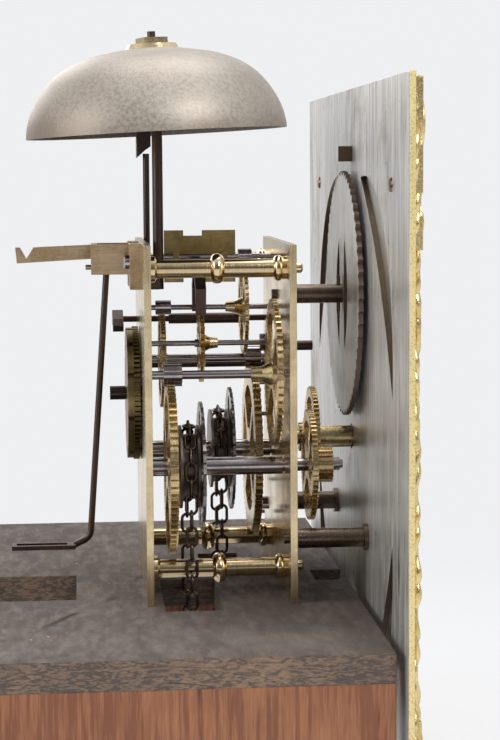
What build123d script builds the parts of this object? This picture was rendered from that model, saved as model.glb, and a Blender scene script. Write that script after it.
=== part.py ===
from build123d import *
import math
import os

os.makedirs("parts", exist_ok=True)

# Working head of a longcase clock: movement, bell, crutch and dial on the seat board.
# +X points forward to the dial and +Z up. Z = 0 is the underside of the case cheeks.

# Case top and seat board
cheek_height = 95.0
cheek_thick = 20.0
board_thick = 12.5
board_width = 318.0
board_front = 81.0
board_top = cheek_height + board_thick

# Movement plates, with +X through both of them
plate_thick = 3.2
plate_gap = 61.4
plate_width = 124.0
plate_height = 161.5
back_x = -15.8
back_inner = back_x + plate_thick
front_inner = back_inner + plate_gap
front_x = front_inner + plate_thick

# Pillars between the plates
pillar_spread = 80.0
pillar_low = 13.0
pillar_high = 150.2
pillar_r = 4.2
pillar_foot_r = 5.9
knop_r = 6.9
knop_half = 3.2
tenon_r = 2.4

# Pivots and running fits
pivot_r = 1.2
running = 0.06
shake = 0.4

# Tooth form, as shares of the module or of the pitch
addendum = 0.8
dedendum = 1.1
tip_share = 0.26
root_share = 0.54

# Going train: great wheel, second wheel, escape wheel
great_teeth = 72
great_pinion = 8
great_module = 1.0825
second_teeth = 60
escape_pinion = 6
second_module = 1.116
escape_teeth = 30
escape_r = 18.5

# Striking train: great wheel, hoop wheel, warning wheel, fly
strike_module = 1.127
hoop_teeth = 56
warning_pinion = 7
hoop_module = 0.8254
warning_teeth = 48
fly_pinion = 6
warning_module = 0.926
hammer_pins = 8
hammer_pin_circle = 33.0
count_teeth = 80
count_pinion = 8
count_module = 0.782
hours = 12

# Motion work behind the dial
minute_wheel_teeth = 64
cannon_teeth = 16
report_teeth = 20
hour_teeth = 60

# Arbor places
great_height = 58.5
great_side = 30.0
centre_height = 67.4
anchor_rise = 36.5

# Chains over the sprockets
wire = 1.2
link_pitch = 7.4
link_slack = 0.3
link_width = 6.2
links_per_turn = 16
strand_links = 15

# Dial
dial_size = 330.0
dial_thick = 2.5
dial_gap = 33.0
dial_x = front_x + dial_gap
dial_front = dial_x + dial_thick
front_reach = dial_x + 19.0
board_back = -front_reach
foot_r = 4.5

# Bell
bell_r = 61.5
bell_height = 39.5
bell_wall = 2.4
bell_x = -6.5
bell_y = 6.5
bell_rise = 212.0
bell_lean = 2.7
stand_r = 2.5


def polar(centre, radius, angle):
    """Point at an angle from +Y towards +Z round a centre."""
    turn = math.radians(angle)
    return (centre[0] + radius * math.cos(turn), centre[1] + radius * math.sin(turn))


def direction(start, end):
    """Angle of the line from one arbor to another."""
    return math.degrees(math.atan2(end[1] - start[1], end[0] - start[0]))


def keep(part, name):
    """Name a finished piece and write it."""
    part.label = name
    export_step(part, f"parts/{name}.step")


def turned(centre, steps):
    """Rod along X made of steps: start, end and radius."""
    with BuildPart() as rod:
        for start, end, radius in steps:
            with BuildSketch(Plane.YZ.offset(start)):
                with Locations(centre):
                    Circle(radius)
            extrude(amount=end - start)
    return rod.part


def tooth_points(centre, teeth, module, first):
    """Corners of straight teeth round a wheel, the first one at an angle."""
    root = (teeth / 2 - dedendum) * module
    tip = (teeth / 2 + addendum) * module
    pitch = 360 / teeth
    corners = ((root, -root_share), (tip, -tip_share), (tip, tip_share), (root, root_share))
    return [
        polar(centre, radius, first + (tooth + share / 2) * pitch)
        for tooth in range(teeth)
        for radius, share in corners
    ]


def toothed(x, thick, centre, teeth, module, first, bore, rim=None, hub=5.0, spoke=3.0):
    """Toothed wheel with its bore, and four crossings where a rim width is given."""
    with BuildPart() as wheel:
        with BuildSketch(Plane.YZ.offset(x)):
            with BuildLine():
                Polyline(*tooth_points(centre, teeth, module, first), close=True)
            make_face()
            with Locations(centre):
                if rim:
                    inside = (teeth / 2 - dedendum) * module - rim
                    Circle(inside, mode=Mode.SUBTRACT)
                    Circle(hub)
                    Rectangle(2 * inside + rim, spoke, rotation=45)
                    Rectangle(2 * inside + rim, spoke, rotation=135)
                Circle(bore, mode=Mode.SUBTRACT)
        extrude(amount=thick)
    return wheel.part


def mesh_phase(wheel, pinion, leaves):
    """Angle of a pinion's first leaf, with a gap on the line of centres."""
    return direction(pinion, wheel) + 180 / leaves


def gear_distance(first_teeth, second_teeth_count, module):
    return (first_teeth + second_teeth_count) * module / 2


# Arbor centres as (Y, Z)
great_z = board_top + great_height
going = (-great_side, great_z)
second = polar(going, gear_distance(great_teeth, great_pinion, great_module), 96.6)
escape_reach = gear_distance(second_teeth, escape_pinion, second_module)
escape = (0.0, second[1] + math.sqrt(escape_reach**2 - second[0] ** 2))
anchor = (0.0, escape[1] + anchor_rise)
strike = (great_side, great_z)
hoop = polar(strike, gear_distance(great_teeth, great_pinion, strike_module), 93.8)
warning = polar(hoop, gear_distance(hoop_teeth, warning_pinion, hoop_module), 103.3)
fly = polar(warning, gear_distance(warning_teeth, fly_pinion, warning_module), 99.2)
count = polar(strike, gear_distance(count_teeth, count_pinion, count_module), 119.3)
centre = (0.0, board_top + centre_height)
hammer = (54.0, board_top + 98.5)
detent = (47.0, board_top + 121.5)
motion_module = 2 * math.dist(going, centre) / (minute_wheel_teeth + cannon_teeth)
upper_foot = (0.0, centre[1] + 68.5)
lower_feet = [(side * 52.0, centre[1] - 39.5) for side in (-1, 1)]
pillars = [
    (side * pillar_spread / 2, board_top + height)
    for side in (-1, 1)
    for height in (pillar_low, pillar_high)
]

# Seat board with the pendulum slot, two chain slots and a notch behind the dial
slots = {
    "pendulum": (-92.0, -47.4, -43.0, 12.0),
    "going": (-8.0, 18.0, -72.0, -4.0),
    "strike": (14.0, 34.0, 4.0, 60.0),
    "notch": (66.0, board_front + 1.0, -12.0, 12.0),
}
with BuildPart() as seat_board:
    with BuildSketch(Plane.XY.offset(cheek_height)):
        with Locations(((board_front + board_back) / 2, 0)):
            Rectangle(board_front - board_back, board_width)
        for low_x, high_x, low_y, high_y in slots.values():
            with Locations(((low_x + high_x) / 2, (low_y + high_y) / 2)):
                Rectangle(high_x - low_x, high_y - low_y, mode=Mode.SUBTRACT)
    extrude(amount=board_thick)
keep(seat_board.part, "seat_board")

for name, side in (("cheek_near", -1), ("cheek_far", 1)):
    with BuildPart() as cheek:
        with BuildSketch(Plane.XY):
            with Locations(((board_front + board_back) / 2, side * (board_width - cheek_thick) / 2)):
                Rectangle(board_front - board_back, cheek_thick)
        extrude(amount=cheek_height)
    keep(cheek.part, name)


def plate(x, holes):
    """Movement plate standing on the seat board, drilled for pivots and pillars."""
    with BuildPart() as sheet:
        with BuildSketch(Plane.YZ.offset(x)):
            with Locations((0, board_top + plate_height / 2)):
                Rectangle(plate_width, plate_height)
            for place, radius in holes:
                with Locations(place):
                    Circle(radius, mode=Mode.SUBTRACT)
        extrude(amount=plate_thick)
    return sheet.part


great_journal = 3.0
pivots = [(place, pivot_r + running) for place in (second, escape, hoop, warning, fly, hammer)]
journals = [(place, great_journal + running) for place in (going, strike)]
tenons = [(place, tenon_r) for place in pillars]
stud_r = 1.8
count_stud_r = 2.8
detent_r = 1.5
cock_opening = 4.0
back_holes = pivots + journals + tenons
back_holes += [(anchor, cock_opening), (count, stud_r), (detent, detent_r + running)]
front_holes = pivots + journals + tenons
front_holes += [(anchor, pivot_r + running), (centre, stud_r), (detent, detent_r + running)]
front_holes += [(place, tenon_r) for place in [upper_foot] + lower_feet]
keep(plate(back_x, back_holes), "back_plate")
keep(plate(front_inner, front_holes), "front_plate")


def pillar(place):
    """Turned pillar with its foot, middle knop, front bead and both tenons."""
    middle = (back_inner + front_inner) / 2
    with BuildPart() as post:
        with BuildSketch(Plane(origin=(0, *place), x_dir=(1, 0, 0), z_dir=(0, -1, 0))):
            with BuildLine():
                rear = Polyline(
                    (middle - knop_half, pillar_r),
                    (back_inner + 3.4, pillar_r),
                    (back_inner + 2.4, pillar_foot_r),
                    (back_inner, pillar_foot_r),
                    (back_inner, tenon_r),
                    (back_x, tenon_r),
                    (back_x, 0),
                    (front_x + 5.0, 0),
                    (front_x + 5.0, tenon_r - 0.8),
                    (front_x + 4.2, tenon_r),
                    (front_inner, tenon_r),
                    (front_inner, pillar_foot_r - 0.8),
                    (front_inner - 1.4, pillar_foot_r - 0.8),
                )
                bead = ThreePointArc(
                    rear @ 1,
                    (front_inner - 3.0, pillar_foot_r),
                    (front_inner - 4.6, pillar_foot_r - 0.8),
                )
                shaft = Polyline(bead @ 1, (front_inner - 5.2, pillar_r), (middle + knop_half, pillar_r))
                ThreePointArc(shaft @ 1, (middle, knop_r), rear @ 0)
            make_face()
        revolve(axis=Axis((0, *place), (1, 0, 0)))
    return post.part


pillar_names = ["pillar_near_low", "pillar_near_high", "pillar_far_low", "pillar_far_high"]
for name, place in zip(pillar_names, pillars):
    keep(pillar(place), name)

# Bolts up through the seat board into the two lower pillars
bolt_r = 2.0
bolt_x = 42.0
bolt_head = 4.5
with BuildPart() as seat_bolts:
    for side in (-1, 1):
        with BuildSketch(Plane.XY.offset(cheek_height - bolt_head)):
            with Locations((bolt_x, side * pillar_spread / 2)):
                RegularPolygon(bolt_head, 6)
        extrude(amount=bolt_head)
keep(seat_bolts.part, "seat_bolts")

# Taper pins that hold the front plate on the pillar ends
with BuildPart() as plate_pins:
    for y, z in pillars:
        with BuildSketch(Plane.XY.offset(z - 7.0)):
            with Locations((front_x + 0.9, y + tenon_r + 0.8)):
                Circle(0.75)
        extrude(amount=14.0)
keep(plate_pins.part, "plate_pins")


def spool(x, centre_yz, bore):
    """Sprocket: a hub between two cheeks, on which the chain lies."""
    groove = link_width + 2 * link_slack
    cheek = 1.2
    with BuildPart() as part:
        for start, thick, radius in (
            (x - groove / 2 - cheek, cheek, chain_r + 0.6),
            (x - groove / 2, groove, hub_r),
            (x + groove / 2, cheek, chain_r + 0.6),
        ):
            with BuildSketch(Plane.YZ.offset(start)):
                with Locations(centre_yz):
                    Circle(radius)
                    Circle(bore, mode=Mode.SUBTRACT)
            extrude(amount=thick)
    return part.part


# Chain line: links are chords of the sprocket, alternately flat and on edge
chain_r = link_pitch / (2 * math.tan(math.pi / links_per_turn))
hub_r = chain_r - link_width / 2 - 0.5
link_length = link_pitch + 2 * wire + link_slack


def link_outline(inset):
    long, wide = link_length / 2 - inset, link_width / 2 - inset
    flat, side = long - 0.34 * link_width + 0.4 * inset, wide - 0.3 * link_width + 0.4 * inset
    return [
        (long, -side), (long, side), (flat, wide), (-flat, wide),
        (-long, side), (-long, -side), (-flat, -wide), (flat, -wide),
    ]


def chain(x, centre_yz):
    """Chain hung over a sprocket: half a turn of links and two straight strands."""
    half = links_per_turn // 2
    stations = []
    for step in range(half + 1):
        angle = 180 * step / half
        stations.append((polar(centre_yz, chain_r, angle), angle + 90, step))
    for step in range(1, strand_links + 1):
        for side in (-1, 1):
            place = (centre_yz[0] + side * chain_r, centre_yz[1] - step * link_pitch)
            stations.append((place, 90, step))
    with BuildPart() as links:
        for place, angle, step in stations:
            turn = math.radians(angle)
            along = (0, math.cos(turn), math.sin(turn))
            across = (0, -math.sin(turn), math.cos(turn))
            normal = across if step % 2 == 0 else (1, 0, 0)
            with BuildSketch(Plane(origin=(x, *place), x_dir=along, z_dir=normal).offset(-wire / 2)):
                with BuildLine():
                    Polyline(*link_outline(0), close=True)
                make_face()
                with BuildLine():
                    Polyline(*link_outline(wire), close=True)
                make_face(mode=Mode.SUBTRACT)
            extrude(amount=wire)
    return links.part


# Going train, driven by the near chain
great_x = -5.0
great_thick = 3.6
going_chain_x = 5.1
going_seat = 4.2
keep(
    toothed(great_x, great_thick, going, great_teeth, great_module,
            direction(going, second), going_seat, rim=5.0, hub=10.0, spoke=5.0),
    "going_great_wheel",
)
going_end = front_x + 23.0
keep(
    turned(going, [
        (back_x, back_inner + shake, great_journal),
        (back_inner + shake, front_inner - shake, going_seat),
        (front_inner - shake, going_end, great_journal),
        (going_end, going_end + 1.5, great_journal - 1.0),
    ]),
    "going_arbor",
)
keep(spool(going_chain_x, going, going_seat + running), "going_sprocket")
click_r = 30.0
click_gap = 0.4


def click_wheel(x, thick, place, bore):
    """Thin ratchet disc beside a sprocket, with saw teeth for its click."""
    teeth = 36
    with BuildPart() as disc:
        with BuildSketch(Plane.YZ.offset(x)):
            with BuildLine():
                points = []
                for tooth in range(teeth):
                    points.append(polar(place, click_r - 1.6, tooth * 360 / teeth))
                    points.append(polar(place, click_r, (tooth + 0.85) * 360 / teeth))
                Polyline(*points, close=True)
            make_face()
            with Locations(place):
                Circle(bore, mode=Mode.SUBTRACT)
                with PolarLocations(click_r * 0.68, 4):
                    Circle(5.5, mode=Mode.SUBTRACT)
        extrude(amount=thick)
    return disc.part


going_click_x = going_chain_x + link_width / 2 + link_slack + 1.2
keep(click_wheel(going_click_x + click_gap, 1.4, going, going_seat), "going_click_wheel")

second_x = 43.0
second_thick = 2.4


def with_collet(wheel, place, bore, wheel_x, wheel_r, tip_x, tip_r):
    """Wheel joined to the brass collet that flares out to it along the arbor."""
    neck_x = tip_x + 0.55 * (wheel_x - tip_x)
    neck_r = tip_r + 0.25 * (wheel_r - tip_r)
    with BuildPart() as part:
        add(wheel)
        with BuildSketch(Plane(origin=(0, *place), x_dir=(1, 0, 0), z_dir=(0, -1, 0))):
            with BuildLine():
                Polyline(
                    (wheel_x, bore),
                    (wheel_x, wheel_r),
                    (neck_x, neck_r),
                    (tip_x, tip_r),
                    (tip_x, bore),
                    close=True,
                )
            make_face()
        revolve(axis=Axis((0, *place), (1, 0, 0)))
    return part.part


keep(
    with_collet(
        toothed(second_x, second_thick, second, second_teeth, second_module,
                direction(second, escape), 2.4, rim=4.5, hub=7.0, spoke=3.6),
        second, 2.4, second_x, 5.5, second_x - 9.5, 2.9),
    "second_wheel",
)


def arbor(place, leaves, module, phase, leaf_x, leaf_long, body, seats=()):
    """Steel arbor with its cut pinion, pivots at both ends and any brass seats."""
    rod = turned(place, [
        (back_x + 0.4, back_inner + shake, pivot_r),
        (back_inner + shake, front_inner - shake, body),
        (front_inner - shake, front_x - 0.4, pivot_r),
        *seats,
    ])
    with BuildPart() as piece:
        add(rod)
        with BuildSketch(Plane.YZ.offset(leaf_x)):
            with BuildLine():
                Polyline(*tooth_points(place, leaves, module, phase), close=True)
            make_face()
        extrude(amount=leaf_long)
    return piece.part


keep(
    arbor(second, great_pinion, great_module, mesh_phase(going, second, great_pinion),
          great_x - 1.5, 8.5, 2.0, [(second_x - 9.5, second_x + second_thick, 2.4)]),
    "second_arbor",
)
escape_x = 12.0
escape_thick = 2.0
with BuildPart() as escape_wheel:
    with BuildSketch(Plane.YZ.offset(escape_x)):
        with BuildLine():
            points = []
            for tooth in range(escape_teeth):
                start = tooth * 360 / escape_teeth
                points.append(polar(escape, escape_r - 4.0, start))
                points.append(polar(escape, escape_r, start + 6.6))
                points.append(polar(escape, escape_r, start + 7.4))
            Polyline(*points, close=True)
        make_face()
        with Locations(escape):
            Circle(escape_r - 6.4, mode=Mode.SUBTRACT)
            Circle(4.0)
            Rectangle(2 * escape_r - 11.0, 1.8, rotation=20)
            Rectangle(2 * escape_r - 11.0, 1.8, rotation=110)
            Circle(1.9, mode=Mode.SUBTRACT)
    extrude(amount=escape_thick)
keep(
    with_collet(escape_wheel.part, escape, 1.9, escape_x + escape_thick, 4.4, escape_x + 9.0, 2.3),
    "escape_wheel",
)
keep(
    arbor(escape, escape_pinion, second_module, mesh_phase(second, escape, escape_pinion),
          second_x - 2.0, 6.0, 1.3, [(escape_x - 2.0, escape_x + 9.0, 1.9)]),
    "escape_arbor",
)

# Striking train, driven by the far chain
strike_x = 38.0
strike_thick = 3.6
strike_chain_x = 23.2
keep(
    toothed(strike_x, strike_thick, strike, great_teeth, strike_module,
            direction(strike, hoop), going_seat, rim=8.5, hub=10.0, spoke=5.0),
    "strike_great_wheel",
)
count_x = back_x - 3.4
count_thick = 2.8
with BuildPart() as strike_arbor:
    add(turned(strike, [
        (count_x - 1.0, back_x, 2.2),
        (back_x, back_inner + shake, great_journal),
        (back_inner + shake, front_inner - shake, going_seat),
        (front_inner - shake, front_x + 1.0, great_journal),
    ]))
    with BuildSketch(Plane.YZ.offset(count_x)):
        with BuildLine():
            phase = mesh_phase(count, strike, count_pinion)
            Polyline(*tooth_points(strike, count_pinion, count_module, phase), close=True)
        make_face()
    extrude(amount=count_thick)
keep(strike_arbor.part, "strike_arbor")
with BuildPart() as lifting_pins:
    with BuildSketch(Plane.YZ.offset(strike_x + strike_thick)):
        with Locations(strike):
            with PolarLocations(hammer_pin_circle, hammer_pins, start_angle=direction(strike, hoop) - 41.0):
                Circle(1.0)
    extrude(amount=4.6)
keep(lifting_pins.part, "lifting_pins")
keep(spool(strike_chain_x, strike, going_seat + running), "strike_sprocket")
strike_click_x = strike_chain_x + link_width / 2 + link_slack + 1.2
keep(click_wheel(strike_click_x + click_gap, 1.4, strike, going_seat), "strike_click_wheel")

hoop_x = -5.5
hoop_thick = 2.4
keep(
    toothed(hoop_x, hoop_thick, hoop, hoop_teeth, hoop_module,
            direction(hoop, warning), 2.4, rim=3.6, hub=5.5, spoke=3.0),
    "hoop_wheel",
)
keep(
    arbor(hoop, great_pinion, strike_module, mesh_phase(strike, hoop, great_pinion),
          strike_x - 1.5, 7.5, 2.0, [(hoop_x, hoop_x + hoop_thick + 1.5, 2.4)]),
    "hoop_arbor",
)
warning_x = 34.3
warning_thick = 1.8
keep(
    with_collet(
        toothed(warning_x, warning_thick, warning, warning_teeth, warning_module,
                direction(warning, fly), 1.9, rim=3.0, hub=4.8, spoke=2.2),
        warning, 1.9, warning_x, 4.6, warning_x - 8.0, 2.3),
    "warning_wheel",
)
keep(
    arbor(warning, warning_pinion, hoop_module, mesh_phase(hoop, warning, warning_pinion),
          hoop_x - 2.0, 7.5, 1.3, [(warning_x - 8.0, warning_x + warning_thick, 1.9)]),
    "warning_arbor",
)
keep(
    arbor(fly, fly_pinion, warning_module, mesh_phase(warning, fly, fly_pinion),
          warning_x - 2.0, 6.5, 1.2),
    "fly_arbor",
)
fly_start = -3.2
fly_end = 31.2
fly_half = 12.5
with BuildPart() as fly_vane:
    with BuildSketch(Plane(origin=(0, *fly), x_dir=(1, 0, 0), z_dir=(0, -1, 0)).offset(-1.7 - 0.8)):
        with Locations(((fly_start + fly_end) / 2, 0)):
            Rectangle(fly_end - fly_start, 2 * fly_half)
        with Locations((10.6, fly_half), (10.6, -fly_half)):
            Rectangle(9.0, 5.2, mode=Mode.SUBTRACT)
    extrude(amount=0.8)
    with BuildSketch(Plane.YZ.offset(1.0)):
        with Locations(fly):
            Rectangle(3.6, 3.6)
            Circle(1.2, mode=Mode.SUBTRACT)
    extrude(amount=3.0)
    with BuildSketch(Plane.YZ.offset(24.0)):
        with Locations(fly):
            Rectangle(3.6, 3.6)
            Circle(1.2, mode=Mode.SUBTRACT)
    extrude(amount=3.0)
keep(fly_vane.part, "fly_vane")

# Count wheel on a stud behind the back plate
disc_thick = 3.0
count_r = count_teeth * count_module / 2
blows = [sum(range(1, hour + 1)) for hour in range(1, hours + 1)]
with BuildPart() as count_wheel:
    with BuildSketch(Plane.YZ.offset(count_x)):
        with BuildLine():
            phase = direction(count, strike)
            Polyline(*tooth_points(count, count_teeth, count_module, phase), close=True)
        make_face()
        with Locations(count):
            Circle(count_stud_r + running, mode=Mode.SUBTRACT)
    extrude(amount=count_thick)
    with BuildSketch(Plane.YZ.offset(count_x - disc_thick)):
        with Locations(count):
            Circle(count_r)
            Circle(count_stud_r + running, mode=Mode.SUBTRACT)
        for total in blows:
            with Locations(polar(count, count_r, 30 + 360 * total / blows[-1])):
                Rectangle(7.0, 2.6, rotation=30 + 360 * total / blows[-1], mode=Mode.SUBTRACT)
    extrude(amount=disc_thick)
keep(count_wheel.part, "count_wheel")
stud_end = count_x - disc_thick - shake
keep(
    turned(count, [
        (back_x, back_inner, stud_r),
        (stud_end, back_x, count_stud_r),
        (stud_end - 7.5, stud_end, count_stud_r + 0.5),
    ]),
    "count_stud",
)

# Back cock: a foot on the back plate, a stirrup round the crutch and the pendulum arm
cock_thick = 5.0
cock_rear = -38.4
cock_low = anchor[1] - 3.0
cock_high = anchor[1] + 11.0
arm_end = -73.7
with BuildPart() as back_cock:
    with BuildSketch(Plane.YZ.offset(back_x - cock_thick)):
        with Locations((0, anchor[1] + 1.0)):
            Rectangle(48.0, 21.0)
            Rectangle(18.0, 21.0, mode=Mode.SUBTRACT)
        with Locations((0, cock_high - 1.5)):
            Rectangle(18.0, 3.0)
    extrude(amount=cock_thick)
    with BuildSketch(Plane.XY.offset(cock_low)):
        with Locations(((cock_rear + back_x - cock_thick) / 2, 0)):
            Rectangle(back_x - cock_thick - cock_rear, 24.0)
        with Locations(((cock_rear + 3.0 + back_x - cock_thick) / 2, 0)):
            Rectangle(back_x - cock_thick - cock_rear - 3.0, 18.0, mode=Mode.SUBTRACT)
    extrude(amount=cock_high - cock_low)
    with BuildSketch(Plane.XZ.offset(-2.0)):
        with BuildLine():
            Polyline(
                (cock_rear, cock_high - 0.4),
                (arm_end + 8.5, cock_high - 1.4),
                (arm_end + 5.1, cock_high - 6.7),
                (arm_end + 2.2, cock_high - 1.4),
                (arm_end, cock_high - 1.4),
                (arm_end + 0.7, cock_high - 8.8),
                (cock_rear, cock_high - 7.0),
                close=True,
            )
        make_face()
    extrude(amount=4.0)
    with BuildSketch(Plane.YZ.offset(cock_rear)):
        with Locations(anchor):
            Circle(pivot_r + running)
    extrude(amount=3.0, mode=Mode.SUBTRACT)
keep(back_cock.part, "back_cock")
with BuildPart() as cock_screws:
    with BuildSketch(Plane.YZ.offset(back_x - cock_thick)):
        with Locations((-18.0, anchor[1] + 3.0), (18.0, anchor[1] + 3.0)):
            Circle(3.3)
    extrude(amount=-2.8)
    chamfer(cock_screws.faces().sort_by(Axis.X)[0:2].edges(), 0.7)
keep(cock_screws.part, "cock_screws")

# Anchor on its arbor, above the escape wheel
pallet_r = escape_r + 0.7
pallet_spread = 13.0
pallet_z = math.sqrt(pallet_r**2 - pallet_spread**2)
with BuildPart() as anchor_piece:
    with BuildSketch(Plane.YZ.offset(escape_x - 2.2)):
        with Locations(anchor):
            Circle(3.8)
        for side in (-1, 1):
            with BuildLine():
                Polyline(
                    (anchor[0] + side * 1.0, anchor[1] + 3.6),
                    (anchor[0] + side * 16.5, anchor[1] - 10.0),
                    (side * (pallet_spread + 1.4), escape[1] + pallet_z),
                    (side * pallet_spread, escape[1] + pallet_z + 1.0),
                    (anchor[0] + side * 12.0, anchor[1] - 10.5),
                    (anchor[0] + side * 0.0, anchor[1] - 3.4),
                    close=True,
                )
            make_face()
        with Locations(anchor):
            Circle(1.3, mode=Mode.SUBTRACT)
    extrude(amount=4.9)
keep(anchor_piece.part, "anchor")
keep(
    turned(anchor, [
        (cock_rear - 2.6, cock_rear + 3.0 + shake, pivot_r),
        (cock_rear + 3.0 + shake, front_inner - shake, 1.3),
        (front_inner - shake, front_x - 0.4, pivot_r),
    ]),
    "anchor_arbor",
)

# Crutch: boss, leaning rod and the slotted foot that takes the pendulum rod
crutch_x = -31.3
crutch_low_x = -40.4
crutch_low = anchor[1] - 122.0
fork_z = crutch_low - 10.5
fork_start = -77.5
fork_end = -47.5
with BuildPart() as crutch:
    with BuildSketch(Plane.YZ.offset(crutch_x - 1.8)):
        with Locations(anchor):
            Circle(3.2)
            Circle(1.3, mode=Mode.SUBTRACT)
    extrude(amount=3.6)
    with BuildLine() as route:
        FilletPolyline(
            (crutch_x, 0, anchor[1] - 2.6),
            (crutch_low_x, 0, fork_z + 4.0),
            (fork_end - 0.5, 0, fork_z + 0.4),
            radius=6.0,
        )
    with BuildSketch(Plane(origin=route.line @ 0, z_dir=route.line % 0)):
        Circle(1.5)
    sweep()
    with BuildSketch(Plane.XY.offset(fork_z - 1.0)):
        with Locations(((fork_start + fork_end) / 2, 0)):
            Rectangle(fork_end - fork_start, 9.6)
        with Locations(((fork_start + fork_end) / 2 - 1.0, 0)):
            Rectangle(fork_end - fork_start - 6.0, 5.2, mode=Mode.SUBTRACT)
    extrude(amount=2.0)
keep(crutch.part, "crutch")

# Bell on its stand, leaning a little towards the back
rim_place = (bell_x, bell_y, board_top + bell_rise)
lean = math.radians(bell_lean)
bell_plane = Plane(
    origin=rim_place,
    x_dir=(math.cos(lean), 0, math.sin(lean)),
    z_dir=(-math.sin(lean), 0, math.cos(lean)),
)
bell_side = Plane(origin=rim_place, x_dir=bell_plane.x_dir, z_dir=-bell_plane.y_dir)
bell_axis = Axis(bell_plane.origin, bell_plane.z_dir)
crown_r = 26.0
crown_flat_r = 12.5
washer_thick = 2.2
nut_thick = 3.0
with BuildPart() as bell:
    with BuildSketch(bell_side):
        with BuildLine():
            outer = Spline(
                (bell_r, 0),
                (bell_r * 0.975, bell_height * 0.22),
                (bell_r * 0.885, bell_height * 0.5),
                (bell_r * 0.78, bell_height * 0.69),
                (bell_r * 0.617, bell_height * 0.85),
                (crown_r, bell_height * 0.945),
            )
            top = Polyline(
                outer @ 1,
                (crown_flat_r, bell_height),
                (stand_r, bell_height),
                (stand_r, bell_height - bell_wall),
                (crown_flat_r, bell_height - bell_wall),
            )
            turn_in = Line(top @ 1, (crown_r - 1.0, bell_height * 0.945 - bell_wall))
            inner = Spline(
                turn_in @ 1,
                (bell_r * 0.617 - 1.2, bell_height * 0.85 - bell_wall + 0.2),
                (bell_r * 0.78 - 1.8, bell_height * 0.69 - 1.6),
                (bell_r * 0.885 - 2.2, bell_height * 0.5 - 1.0),
                (bell_r * 0.975 - bell_wall, bell_height * 0.22),
                (bell_r - bell_wall, 0),
            )
            Line(inner @ 1, outer @ 0)
        make_face()
    revolve(axis=bell_axis)
keep(bell.part, "bell")
stand_low = board_top + 138.5
stand_top = bell_height + washer_thick + 1.0
with BuildPart() as bell_stand:
    with BuildLine() as stand_path:
        FilletPolyline(
            (bell_x, bell_y, stand_low),
            rim_place,
            tuple(bell_plane.origin + bell_plane.z_dir * stand_top),
            radius=300.0,
        )
    with BuildSketch(Plane(origin=stand_path.line @ 0, z_dir=stand_path.line % 0)):
        Circle(stand_r)
    sweep()
    with BuildSketch(bell_plane.offset(stand_top)):
        Circle(1.9)
    extrude(amount=nut_thick + 1.9)
    with BuildSketch(bell_plane.offset(bell_height - bell_wall - 3.0)):
        Circle(5.0)
    extrude(amount=3.0)
    with BuildSketch(Plane.YZ.offset(back_inner)):
        with Locations((bell_y, stand_low + 3.5)):
            Rectangle(7.0, 7.0)
    extrude(amount=bell_x - back_inner)
keep(bell_stand.part, "bell_stand")
with BuildPart() as bell_nut:
    with BuildSketch(bell_plane.offset(bell_height)):
        Circle(crown_flat_r)
    extrude(amount=washer_thick, taper=25)
    with BuildSketch(bell_plane.offset(bell_height + washer_thick)):
        Rectangle(11.6, 11.6, rotation=20)
    extrude(amount=nut_thick)
    add(bell_stand.part, mode=Mode.SUBTRACT)
keep(bell_nut.part, "bell_nut")

# Hammer: arbor, stem up to the bell and a tail that stops just outside the lifting pins' path
stem_x = -10.2
head_y = 51.5
head_out = 62.5
head_in = 46.0
head_low = board_top + 201.0
head_high = 14.0
tail_x = strike_x + strike_thick + 0.8
with BuildPart() as hammer_piece:
    add(turned(hammer, [
        (back_x + 0.4, back_inner + shake, pivot_r),
        (back_inner + shake, front_inner - shake, 2.2),
        (front_inner - shake, front_x - 0.4, pivot_r),
    ]))
    with BuildLine() as stem:
        Line((stem_x, hammer[0], hammer[1]), (stem_x, head_y, head_low + 2.0))
    with BuildSketch(Plane(origin=stem.line @ 0, z_dir=stem.line % 0)):
        Circle(1.6)
    sweep()
    with BuildSketch(Plane.YZ.offset(tail_x)):
        with BuildLine():
            Polyline(
                (hammer[0] + 1.0, hammer[1] - 3.0),
                (hammer[0] + 1.0, hammer[1] + 3.0),
                (hammer[0] - 4.0, hammer[1] + 2.0),
                (hammer[0] - 14.0, hammer[1] - 5.2),
                (hammer[0] - 13.0, hammer[1] - 6.6),
                close=True,
            )
        make_face()
    extrude(amount=2.0)
keep(hammer_piece.part, "hammer_arbor")
with BuildPart() as hammer_head:
    with BuildSketch(Plane.XZ.offset(-head_out)):
        with BuildLine():
            Polyline(
                (stem_x - 4.6, head_low),
                (stem_x - 4.6, head_low + head_high),
                (stem_x + 2.2, head_low + head_high),
                (stem_x + 2.2, head_low + 5.5),
                (stem_x - 0.6, head_low + 3.6),
                close=True,
            )
        make_face()
    extrude(amount=head_out - head_in)
    add(hammer_piece.part, mode=Mode.SUBTRACT)
keep(hammer_head.part, "hammer_head")

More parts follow.
